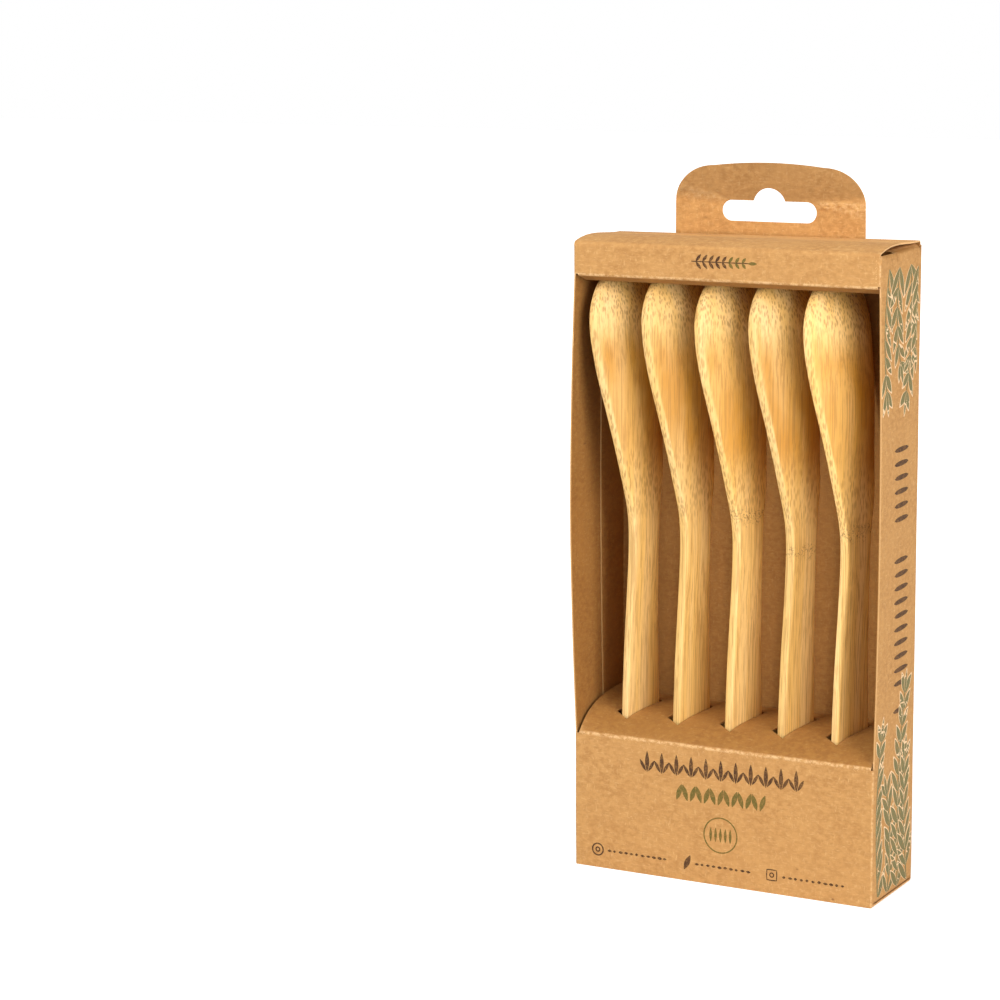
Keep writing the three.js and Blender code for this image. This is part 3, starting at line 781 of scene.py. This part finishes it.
def insideAt(point, normal, spec=cardTonesAndPaintedLight):
    # how far a point is on the inner face of a wall, where painted shade darkens the card to stand in for
    # the shade inside the carton
    if point.z > tabFrom and point.y > 0:
        return 0.0
    wall = max(-normal.x * math.copysign(1, point.x), 0) if abs(point.x) > side - 4 * mm else 0
    rear = max(-normal.y, 0) if point.y > front + 2 * mm else 0
    fore = max(normal.y, 0) if point.y < back - 2 * mm else 0
    within = 1 * mm < point.z < boxHeight - 0.3 * mm and abs(point.y) < back - 0.6 * mm
    flat = abs(normal.z) if within else 0
    return smoothStep(*spec["innerFaces"], max(wall, spec["rear"] * rear, fore, flat))


def stainAt(point):
    return max(inBlemish(point, blemish) ** 2 * blemish["stain"] for blemish in blemishes.values())


def dressCard(thing, rest):
    # the attributes that the kraft material reads, from each point's place in the plain solid
    addAttribute(thing, "stain", [stainAt(point) for point in rest])
    addAttribute(thing, "wear", [wrinkleAt(point)[1] if onTab(point) else 0.0 for point in rest])
    # tone: random patches, with painted light on the tab's foot and painted shade on its top
    addAttribute(thing, "toneAndPaintedLight", [cardToneWithPaintedLight(point) for point in rest])
    normals = [vert.normal for vert in thing.data.vertices]
    # painted shade on the inner faces of the walls, the shelf and the floor of the box
    addAttribute(thing, "inside", [insideAt(point, normal) for point, normal in zip(rest, normals)])
    markCutEdges(thing)
    thing.data.materials.append(kraftCard)


def cardPiece(name, node, body, trim):
    shape = nodeCopy(node)
    trim(shape)
    cutInRows(shape)
    shape = cutFiner(shape)
    rest = [vert.co.copy() for vert in shape.verts]
    for vert in shape.verts:
        vert.co += cardMove(vert.co)
        vert.co.y = min(max(vert.co.y, front), back)
    thing = finishMesh(shape, name)
    dressCard(thing, rest)
    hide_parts(node)
    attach(thing, body)
    return thing


# Soft folds between each lid and the wall that it grows from. The lid is cut back to the fold's end.

topFold = {"wallEnd": 208.6 * mm, "wallDepth": 0.6 * mm, "reach": 1.5 * mm, "steps": 8, "across": 60}
bottomFold = {"wallEnd": 0.8 * mm, "reach": 0.9 * mm, "steps": 6, "across": 40}


def lowerBand(shape):
    # the band ends where the top fold begins
    for vert in shape.verts:
        if vert.co.y < front + topFold["wallDepth"]:
            vert.co.z = min(vert.co.z, topFold["wallEnd"])
    bmesh.ops.dissolve_degenerate(shape, edges=shape.edges, dist=tiny)


def cutBack(hinge, spec):
    inward = -math.copysign(1, hinge.y)

    def trim(shape):
        place = Vector((0, hinge.y + inward * spec["reach"], 0))
        cut = bmesh.ops.bisect_plane(
            shape, geom=[*shape.verts, *shape.edges, *shape.faces], dist=tiny,
            plane_co=place, plane_no=(0, -inward, 0), clear_outer=True,
        )
        rim = [item for item in cut["geom_cut"] if isinstance(item, bmesh.types.BMEdge)]
        bmesh.ops.triangle_fill(shape, edges=rim, use_beauty=True)
        bmesh.ops.recalc_face_normals(shape, faces=shape.faces)
    return trim


def foldStrip(name, lidNode, hinge, spec, outward):
    # outward is +1 where the lid is above its wall, and -1 below
    inward = -math.copysign(1, hinge.y)
    half = cardSheet["thickness"] / 2
    plain = nodeCopy(lidNode)
    tree = BVHTree.FromBMesh(plain)
    plain.free()
    halfWide = lidHigh.x - 0.02 * mm
    ahead = 0.8 * mm

    def lidSurface(x, y):
        hit = tree.ray_cast(Vector((x, y, hinge.z + outward * 10 * mm)), Vector((0, 0, -outward)))
        return hit[0].z - outward * half

    corners, faces = [], []
    steps, across = spec["steps"], spec["across"]
    for i in range(across + 1):
        x = -halfWide + 2 * halfWide * i / across
        wall = Vector((hinge.y, spec["wallEnd"]))
        far = hinge.y + inward * spec["reach"]
        lid = Vector((far, lidSurface(x, far)))
        slope = (lidSurface(x, far + inward * ahead) - lid.y) / ahead
        lidWay = Vector((inward, slope)).normalized()
        pull = (lid - wall).length * 0.5
        first, second = wall + Vector((0, outward)) * pull, lid - lidWay * pull
        outer, inner = [], []
        for j in range(steps + 1):
            t = j / steps
            point = (wall * (1 - t) ** 3 + first * 3 * t * (1 - t) ** 2
                     + second * 3 * t * t * (1 - t) + lid * t ** 3)
            way = ((first - wall) * (1 - t) ** 2 + (second - first) * 2 * t * (1 - t)
                   + (lid - second) * t * t).normalized()
            normal = Vector((-way.y * inward * outward, way.x * inward * outward)) * outward
            outer.append(point + normal * half)
            inner.insert(0, point - normal * half)
        corners += [(x, point.x, point.y) for point in outer + inner]
    around = 2 * (steps + 1)
    for i in range(across):
        for j in range(around):
            a, b = i * around + j, i * around + (j + 1) % around
            faces.append((a, b, b + around, a + around))
    last = across * around
    faces.append(tuple(range(around)))
    faces.append(tuple(last + j for j in reversed(range(around))))
    shape = bmesh.new()
    made = [shape.verts.new(corner) for corner in corners]
    for face in faces:
        shape.faces.new([made[index] for index in face])
    bmesh.ops.recalc_face_normals(shape, faces=shape.faces)
    rest = [vert.co.copy() for vert in shape.verts]
    for vert in shape.verts:
        vert.co += warpAt(vert.co)
    thing = finishMesh(shape, name)
    dressCard(thing, rest)
    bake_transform(thing)


cartonCard = cardPiece("cartonCard", "carton", "carton", lowerBand)
cardPiece("topLidCard", "top_lid", "top_lid", cutBack(topHinge, topFold))
cardPiece("bottomLidCard", "bottom_lid", "bottom_lid", cutBack(bottomHinge, bottomFold))
foldStrip("topFoldCard", "top_lid", topHinge, topFold, 1)
foldStrip("bottomFoldCard", "bottom_lid", bottomHinge, bottomFold, -1)
print("stage: card", len(cartonCard.data.polygons), "faces")


# Leaf shapes on points: each point's turn, length and width are read from it. The prints, and the loose
# fibres on the creases, are all made of such leaves.

leafShape = {
    "sections": 9,
    "fullness": 0.8,
    "bluntness": 0.12,
    "growLong": 1.4,  # a leaf that grows gets this much longer than it gets wider
}


def leafNodes(spec):
    tree = bpy.data.node_groups.new("leavesOnPoints", "GeometryNodeTree")
    sockets = {"Points": "Geometry", "Sections": "Int", "Fullness": "Float", "Bluntness": "Float",
               "Grow": "Float", "Ink": "Material", "Leaves": "Geometry"}
    for name, kind in sockets.items():
        way = "OUTPUT" if name == "Leaves" else "INPUT"
        tree.interface.new_socket(name=name, in_out=way, socket_type="NodeSocket" + kind)
    graph = Graph(tree)
    given = graph.add("NodeGroupInput").outputs
    blank = graph.add("GeometryNodeMeshGrid", {
        "Size X": 1.0, "Size Y": 1.0, "Vertices X": given["Sections"], "Vertices Y": 3,
    })
    x, y, _ = graph.add("ShaderNodeSeparateXYZ", {0: graph.add("GeometryNodeInputPosition")}).outputs
    share = graph.math("ADD", x, 0.5)
    arch = graph.math("SINE", graph.times(share, math.pi))
    width = graph.math("MAXIMUM", graph.math("POWER", graph.math("MAXIMUM", arch, 0.0), given["Fullness"]),
                       given["Bluntness"])
    place = graph.add("ShaderNodeCombineXYZ", {0: share, 1: graph.times(y, width)})
    leaf = graph.add("GeometryNodeSetPosition", {"Geometry": blank.outputs["Mesh"], "Position": place})

    def fromPoint(name):
        return graph.add("GeometryNodeInputNamedAttribute", {"Name": name}, data_type="FLOAT").outputs[0]

    turn = graph.add("ShaderNodeCombineXYZ", {2: fromPoint("turn")})
    grow = given["Grow"]
    length = graph.math("ADD", fromPoint("length"), graph.times(grow, spec["growLong"]))
    wide = graph.math("ADD", fromPoint("width"), grow)
    size = graph.add("ShaderNodeCombineXYZ", {0: length, 1: wide, 2: 1.0})
    spread = graph.add("GeometryNodeInstanceOnPoints", {
        "Points": given["Points"], "Instance": leaf, "Rotation": turn, "Scale": size,
    })
    real = graph.add("GeometryNodeRealizeInstances", {0: spread})
    inked = graph.add("GeometryNodeSetMaterial", {"Geometry": real, "Material": given["Ink"]})
    graph.add("NodeGroupOutput", {0: inked})
    return tree


leavesOnPoints = leafNodes(leafShape)


def flatLeaves(leaves, ink, grow=0.0, fullness=leafShape["fullness"]):
    # a leaf is (across, up, turn in degrees, length, width, level), in millimetres on the flat sheet
    points = meshFrom("leafPoints", [millimetres(leaf[0], leaf[1], leaf[5]) for leaf in leaves], [])
    for place, name, unit in ((2, "turn", math.radians(1)), (3, "length", mm), (4, "width", mm)):
        addAttribute(points, name, [leaf[place] * unit for leaf in leaves])
    growing = points.modifiers.new("leaves", "NODES")
    growing.node_group = leavesOnPoints
    identifiers = {item.name: item.identifier for item in leavesOnPoints.interface.items_tree}
    values = {"Sections": leafShape["sections"], "Fullness": fullness,
              "Bluntness": leafShape["bluntness"], "Grow": grow * mm, "Ink": inkMaterials[ink]}
    for name, value in values.items():
        growing[identifiers[name]] = value
    mesh = evaluatedMesh(points)
    flat = bmesh.new()
    flat.from_mesh(mesh)
    bpy.data.meshes.remove(mesh)
    bpy.data.objects.remove(points)
    return flat


def addRibbon(flat, path, width, closed=False):
    # a line of even width along a path on the flat sheet, in millimetres
    count = len(path)
    pairs = []
    for i, (x, y) in enumerate(path):
        before = path[i - 1] if closed or i > 0 else path[0]
        after = path[(i + 1) % count] if closed or i < count - 1 else path[-1]
        way = (Vector(after) - Vector(before)).normalized() * width / 2
        pairs.append([flat.verts.new(millimetres(x + s * way.y, y - s * way.x, 0)) for s in (1, -1)])
    for i in range(count if closed else count - 1):
        first, second = pairs[i], pairs[(i + 1) % count]
        flat.faces.new((first[0], second[0], second[1], first[1]))


sheetFaces = {
    "front": (Vector((1, 0, 0)), Vector((0, 0, 1)), Vector((0, -1, 0))),
    "right": (Vector((0, 1, 0)), Vector((0, 0, 1)), Vector((1, 0, 0))),
}
cardTree = BVHTree.FromObject(cartonCard, bpy.context.evaluated_depsgraph_get())
printDepth = 0.05 * mm  # how far a print reaches into the card


def layOn(name, flat, face, ink, lift=0.03):
    # the flat shapes go onto that face of the carton as a thin skin that is set a little into the card
    across, up, out = sheetFaces[face]
    tops, bottoms = [], []
    for vert in flat.verts:
        start = across * vert.co.x + up * vert.co.y + out * 200 * mm
        ground = cardTree.ray_cast(start, -out)[0]
        tops.append(ground + out * (lift * mm + vert.co.z))
        bottoms.append(ground - out * printDepth)
    count = len(tops)
    flat.verts.index_update()
    faces = []
    for shape in flat.faces:
        loop = [vert.index for vert in shape.verts]
        faces.append(loop)
        faces.append([index + count for index in reversed(loop)])
        for edge, a, b in zip(shape.edges, loop, loop[1:] + loop[:1]):
            if edge.is_boundary:
                faces.append([b, a, a + count, b + count])
    flat.free()
    thing = meshFrom(name, tops + bottoms, faces)
    thing.data.materials.append(inkMaterials[ink])
    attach(thing, "carton")


# Prints: plain patterns of leaves and strokes, in the carton's three ink colours

frontPrint = {
    # millimetres on the sheet; a leaf is its length and width
    "seed": 12,
    "sprig": {"at": (-1, 205.2), "first": -8.5, "leaves": 8, "olive": 3, "pitch": 2.3, "spread": 52,
              "leaf": (3.0, 1.0), "shrink": 0.12, "tipAt": 9.6, "tip": (3.2, 1.1), "stem": 0.35},
    "row": {"at": 0.2, "foot": 35.3, "leaves": 11, "pitch": 5.35, "leaf": (7.0, 1.5),
            "spread": 30, "sideAt": (0.5, 0.3), "side": (0.62, 1.15)},
    "zigzag": {"foot": 27.2, "leaves": 13, "pitch": 2.5, "lean": 18, "shift": 26, "leaf": (5.6, 1.75)},
    "ring": {"at": (0.2, 17.0), "radius": 5.9, "line": 0.42,
             "strokes": 5, "pitch": 1.75, "below": 2.4, "leaf": (4.8, 0.95)},
    "dashPitch": 2.05,
    "dashes": ((-41.2, 11, 6.2), (-9.0, 10, 6.1), (22.3, 11, 6.0)),  # first, how many, height
    "leafMark": (-12.9, 3.8, 66, 5.4, 1.9, 0.0),
    "markHeight": 6.2,
    # across, radius, corners, squareness and line of each round or square mark
    "marks": ((-44.9, 2.0, 40, 0, 0.5), (-44.9, 0.7, 16, 0, 0.5),
              (18.6, 1.8, 40, 0.8, 0.38), (18.6, 0.7, 16, 0, 0.4)),
}


def circlePath(x, y, radius, steps, squareness=0):
    path = []
    for i in range(steps):
        angle = 2 * math.pi * i / steps
        across, up = math.cos(angle), math.sin(angle)
        stretch = radius * (1 + squareness * (1 / max(abs(across), abs(up)) - 1))
        path.append((x + stretch * across, y + stretch * up))
    return path


def centred(count, pitch):
    return [(i - (count - 1) / 2) * pitch for i in range(count)]


def printFront(spec):
    draw = random.Random(spec["seed"])
    dark, olive = [], []
    sprig, row, zigzag, ring = (spec[name] for name in ("sprig", "row", "zigzag", "ring"))
    x, y = sprig["at"]
    long, wide = sprig["leaf"]
    for i in range(sprig["leaves"]):
        ink = dark if i < sprig["leaves"] - sprig["olive"] else olive
        for way in (-1, 1):
            at = x + sprig["first"] + i * sprig["pitch"]
            ink.append((at, y, way * sprig["spread"], long - sprig["shrink"] * i, wide, 0.0))
    olive.append((x + sprig["tipAt"], y, 0, *sprig["tip"], 0.0))
    stem = [(x - 10 + i, y) for i in range(21)]

    aside, aloft = row["sideAt"]
    share, narrow = row["side"]
    for across in centred(row["leaves"], row["pitch"]):
        across += row["at"]
        dark.append((across, row["foot"], 90, *row["leaf"], 0.0))
        for way in (-1, 1):
            dark.append((across + aside * way, row["foot"] + aloft, 90 - row["spread"] * way,
                         row["leaf"][0] * share, narrow, 0.0))
    for i, across in enumerate(centred(zigzag["leaves"], zigzag["pitch"])):
        lean = zigzag["lean"] if i % 2 else -zigzag["lean"]
        olive.append((across + lean / zigzag["shift"], zigzag["foot"], 90 + lean, *zigzag["leaf"], 0.0))
    x, y = ring["at"]
    olive += [(x + across, y - ring["below"], 90, *ring["leaf"], 0.0)
              for across in centred(ring["strokes"], ring["pitch"])]
    for first, count, height in spec["dashes"]:
        for i in range(count):
            dark.append((first + i * spec["dashPitch"], height, draw.uniform(-6, 6),
                         draw.uniform(1.0, 1.7), draw.uniform(0.75, 1.0), 0.0))
    dark.append(spec["leafMark"])

    darkFlat = flatLeaves(dark, "dark")
    addRibbon(darkFlat, stem, sprig["stem"])
    for across, radius, corners, squareness, line in spec["marks"]:
        path = circlePath(across, spec["markHeight"], radius, corners, squareness)
        addRibbon(darkFlat, path, line, closed=True)
    layOn("frontPrintDark", darkFlat, "front", "dark")
    oliveFlat = flatLeaves(olive, "olive")
    addRibbon(oliveFlat, circlePath(x, y, ring["radius"], 64), ring["line"], closed=True)
    layOn("frontPrintOlive", oliveFlat, "front", "olive")


printFront(frontPrint)

sidePrint = {
    "seed": 5,
    "outline": 0.5,
    "stem": 0.9,
    "leaf": (9.5, 2.7),
    "leafPitch": 5.2,
    "leafTurn": (28, 40),  # degrees from the stem
    "leafSpread": (0.85, 1.1),
    "tip": (0.8, 0.7),  # the last leaf of a sprig, as shares of the others
    "layer": 0.0006,  # each leaf lies this much above the one before
    # foot, heading in degrees, length and sideways bend of each sprig
    "sprigs": [
        ((-12.5, 1.5), 88, 52, 3), ((-4.5, 1.5), 94, 33, -3),
        ((4.5, 1.5), 86, 64, 3), ((12.5, 1.5), 93, 42, 2),
        ((-10, 204.5), -92, 38, -3), ((-1.5, 204.5), -86, 30, -3),
        ((8, 204.5), -95, 40, 3), ((14.2, 203.5), -92, 26, 0),
    ],
    "within": (-16.4, 16.6, 1, 206),
    "strokes": 20,
    "strokeGaps": (1, 12, 13),
    "strokeFrom": 61,
    "strokePitch": 4.5,
    "stroke": (12.4, 1.7),
    "strokeFullness": 0.35,
    "strokeAt": (-1.7, -5.1),  # where the lowest stroke starts, and the highest
    "strokeShift": 0.2,
}


def onCircle(degrees):
    return Vector((math.cos(math.radians(degrees)), math.sin(math.radians(degrees))))


def sprigPath(foot, heading, length, bend, pitch):
    # the stem's points, its direction at each, and how far along each is
    way = onCircle(heading)
    across = Vector((-way.y, way.x))
    count = max(int(length / pitch), 2)
    arc = math.pi * 0.9
    points = []
    for i in range(count + 1):
        share = i / count
        point = Vector(foot) + way * length * share + across * bend * math.sin(arc * share)
        turn = math.atan(bend * arc * math.cos(arc * share) / length)
        points.append((point, heading + math.degrees(turn), share))
    return points


def printSide(spec):
    draw = random.Random(spec["seed"])
    leaves, stems = [], []
    level = 0.0
    left, right, foot, top = spec["within"]
    leafLength, leafWidth = spec["leaf"]
    tipLength, tipWidth = spec["tip"]
    for sprig in spec["sprigs"]:
        stems.append([point[:] for point, _, _ in sprigPath(*sprig, 1.5)])
        path = sprigPath(*sprig, spec["leafPitch"])
        for i, (point, turn, share) in enumerate(path):
            for way in (-1, 1) if i % 2 else (1, -1):
                long = leafLength * (1.1 - 0.35 * share) * draw.uniform(*spec["leafSpread"])
                angle = turn + way * draw.uniform(*spec["leafTurn"])
                tip = point + onCircle(angle) * long
                if left < tip.x < right and foot < tip.y < top:
                    wide = leafWidth * draw.uniform(*spec["leafSpread"])
                    leaves.append((*point, angle, long, wide, level))
                    level += spec["layer"]
        point, turn, _ = path[-1]
        leaves.append((*point, turn, leafLength * tipLength, leafWidth * tipWidth, level))
    edged = flatLeaves(leaves, "outline", grow=spec["outline"])
    layOn("sidePrintOutline", edged, "right", "outline", lift=0.02)
    inked = flatLeaves(leaves, "leafGreen")
    for stem in stems:
        addRibbon(inked, stem, spec["stem"])
    layOn("sidePrintGreen", inked, "right", "leafGreen", lift=0.0203)

    strokes = []
    first, last = spec["strokeAt"]
    shift = spec["strokeShift"]
    for i in range(spec["strokes"]):
        if i not in spec["strokeGaps"]:
            start = first + (last - first) * i / spec["strokes"] + draw.uniform(-shift, shift)
            height = spec["strokeFrom"] + i * spec["strokePitch"]
            strokes.append((start, height, 0, *spec["stroke"], 0.0))
    layOn("sidePrintDark", flatLeaves(strokes, "dark", fullness=spec["strokeFullness"]), "right", "dark")


printSide(sidePrint)
print("stage: prints")


# Loose fibres where the creases have cracked

creaseFibres = {
    "seed": 21,
    "across": (-52, 51),
    "sill": 110,  # how many along the sill, the foot of the band and the band's right end
    "bandFoot": 26,
    "bandEnd": 18,
    "sillHeight": 45.7,
    "bandHeight": 199.9,
    "endAt": 52.2,
    "endHeights": (200.5, 207.5),
    "window": (45.9, 199.5),  # no fibre starts between these heights
    "length": (0.35, 0.95),
    "width": (0.06, 0.1),
    "lift": 0.04,
}


def looseFibres(spec):
    draw = random.Random(spec["seed"])
    low, high = spec["window"]
    fibres = []

    def add(x, y, turn):
        fibre = (x, y, turn, draw.uniform(*spec["length"]), draw.uniform(*spec["width"]), 0.0)
        if not low <= y <= high:
            fibres.append(fibre)

    for _ in range(spec["sill"]):
        add(draw.uniform(*spec["across"]), spec["sillHeight"] + draw.gauss(-0.25, 0.3), draw.gauss(0, 35))
    for _ in range(spec["bandFoot"]):
        add(draw.uniform(*spec["across"]), spec["bandHeight"] + abs(draw.gauss(0, 0.5)), draw.gauss(0, 30))
    for _ in range(spec["bandEnd"]):
        add(spec["endAt"] - abs(draw.gauss(0, 0.6)), draw.uniform(*spec["endHeights"]), draw.gauss(20, 40))
    layOn("creaseFibres", flatLeaves(fibres, "fibre"), "front", "fibre", spec["lift"])


inkMaterials["fibre"] = inkMaterial("looseFibre", kraft["pale"])
looseFibres(creaseFibres)
print("stage: loose fibres")


# Spoons: the frame's lofts, subdivided smooth

spoons = {
    "turn": 76,  # degrees from the front plane
    "smoothing": 2,
    "joinAngle": 60,
    # heights in millimetres: where each zone begins, is full, begins to end, and ends
    "bowl": (126, 148, 172, 186),
    "neck": (110, 126, 134, 152),
    "rim": (126, 140),
    "withGrain": (0.22, 0.05),  # slopes of a face across the grain, and of one along it
    "narrow": (0.55, 0.85),
    "crossCut": 0.75,
    "grainShift": 0.37,  # metres from one spoon's grain to the next one's
    # each spoon's tone: its own paleness, and on the fifth spoon painted light that lifts the shade of the
    # carton's right wall
    "toneAndPaintedLight": [1.0, 0.98, 1.04, 0.97, 1.13],
    "jointAt": [-1, -1, 121.5, 111, 118.5],  # height of the cane's node on each, or -1
}


def spoonPiece(index, spec):
    node = "spoon_%d" % (index + 1)
    shape = nodeCopy(node)
    angle = math.radians(spec["joinAngle"])
    bmesh.ops.join_triangles(
        shape, faces=shape.faces, angle_face_threshold=angle, angle_shape_threshold=angle,
    )
    mesh = bpy.data.meshes.new(node)
    shape.to_mesh(mesh)
    shape.free()
    thing = meshObject("bambooSpoon%d" % (index + 1), mesh)
    smoother = thing.modifiers.new("smooth", "SUBSURF")
    smoother.levels = spec["smoothing"]
    smooth = evaluatedMesh(thing)
    thing.modifiers.clear()
    thing.data = smooth
    smooth.polygons.foreach_set("use_smooth", [True] * len(smooth.polygons))
    turn = math.radians(spec["turn"])
    wideWay = Vector((math.cos(turn), math.sin(turn), 0))
    withGrain, narrow, inBowl = [], [], []
    for vert in smooth.vertices:
        height = vert.co.z / mm
        runs = smoothStep(*spec["withGrain"], abs(vert.normal.z))
        edge = smoothStep(*spec["narrow"], abs(vert.normal.dot(wideWay)))
        # the neck, and the rims of the bowl, are cut across the grain
        across = max(hump(height, *spec["neck"]), edge * smoothStep(*spec["rim"], height))
        withGrain.append(runs * (1 - spec["crossCut"] * across))
        narrow.append(edge)
        inBowl.append(runs * hump(height, *spec["bowl"]))
    whole = np.ones(len(smooth.vertices))
    attributes = {
        "withGrain": withGrain,
        "narrow": narrow,
        "inBowl": inBowl,
        "spoonShift": whole * index * spec["grainShift"],
        "jointAt": whole * spec["jointAt"][index] * mm,
        "toneAndPaintedLight": whole * spec["toneAndPaintedLight"][index],
    }
    for name, values in attributes.items():
        addAttribute(thing, name, values)
    smooth.materials.clear()
    smooth.materials.append(bambooWood)
    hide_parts(node)
    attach(thing, "carton")


for index in range(len(spoons["toneAndPaintedLight"])):
    spoonPiece(index, spoons)
print("stage: spoons")


# Floor, backdrop and light

studio = {
    "floorSize": 8,
    "floorColour": (0.86, 0.85, 0.84, 1),
    "floorRoughness": 0.7,
    "sky": 0.33,
    "glow": (0.25, 1.1, 0.5, 1.0),  # seen by the camera only: near and far, and how bright at each
}
white = (1, 1, 1, 1)
lamps = {
    "keyLamp": {"place": (-0.5, -1.15, 0.95), "size": 0.55, "power": 10.8, "colour": (1, 1, 1)},
    "fillLamp": {"place": (1.18, -0.66, 0.55), "size": 0.8, "power": 15, "colour": (1.0, 0.985, 1.0)},
    "topLamp": {"place": (0.1, -0.25, 1.3), "size": 0.6, "power": 5.5, "colour": (1, 1, 1)},
}


def makeFloor(spec):
    half = spec["floorSize"] / 2
    corners = [(-half, -half, 0), (half, -half, 0), (half, half, 0), (-half, half, 0)]
    floor = meshFrom("floor", corners, [(0, 1, 2, 3)])
    material, graph, shader, output = newMaterial("paleFloor")
    shader.inputs["Base Color"].default_value = spec["floorColour"]
    shader.inputs["Roughness"].default_value = spec["floorRoughness"]
    seen = graph.add("ShaderNodeLightPath").outputs["Is Camera Ray"]
    away = graph.add("ShaderNodeVectorMath", {0: graph.place()}, operation="LENGTH").outputs["Value"]
    strength = graph.times(seen, graph.ramp(away, *spec["glow"]))
    shine = graph.add("ShaderNodeEmission", {"Color": white, "Strength": strength})
    both = graph.add("ShaderNodeAddShader", {0: shader, 1: shine})
    graph.put(output.inputs["Surface"], both)
    floor.data.materials.append(material)
    floor.location.z = cadLow.z - 0.1 * mm


def makeSky(spec):
    world = bpy.data.worlds.new("studioSky")
    scene.world = world
    world.use_nodes = True
    graph = Graph(world.node_tree)
    world.node_tree.nodes.clear()
    path = graph.add("ShaderNodeLightPath").outputs
    rays = [path["Is %s Ray" % kind] for kind in ("Camera", "Glossy", "Transmission")]
    strength = graph.ramp(graph.math("MAXIMUM", *rays), 0, 1, spec["sky"], 1.0)
    light = graph.add("ShaderNodeBackground", {"Color": white, "Strength": strength})
    graph.add("ShaderNodeOutputWorld", {"Surface": light})


def makeLamp(name, spec, target):
    data = bpy.data.lights.new(name, "AREA")
    data.shape = "RECTANGLE"
    data.size = data.size_y = spec["size"]
    data.energy = spec["power"]
    data.color = spec["colour"]
    lamp = bpy.data.objects.new(name, data)
    scene.collection.objects.link(lamp)
    lamp.location = spec["place"]
    lamp.rotation_mode = "QUATERNION"
    lamp.rotation_quaternion = (Vector(spec["place"]) - target).to_track_quat("Z", "Y")


makeFloor(studio)
makeSky(studio)
for name, lamp in lamps.items():
    makeLamp(name, lamp, (cadLow + cadHigh) / 2)
print("stage: studio")

scene.view_settings.view_transform = "Standard"
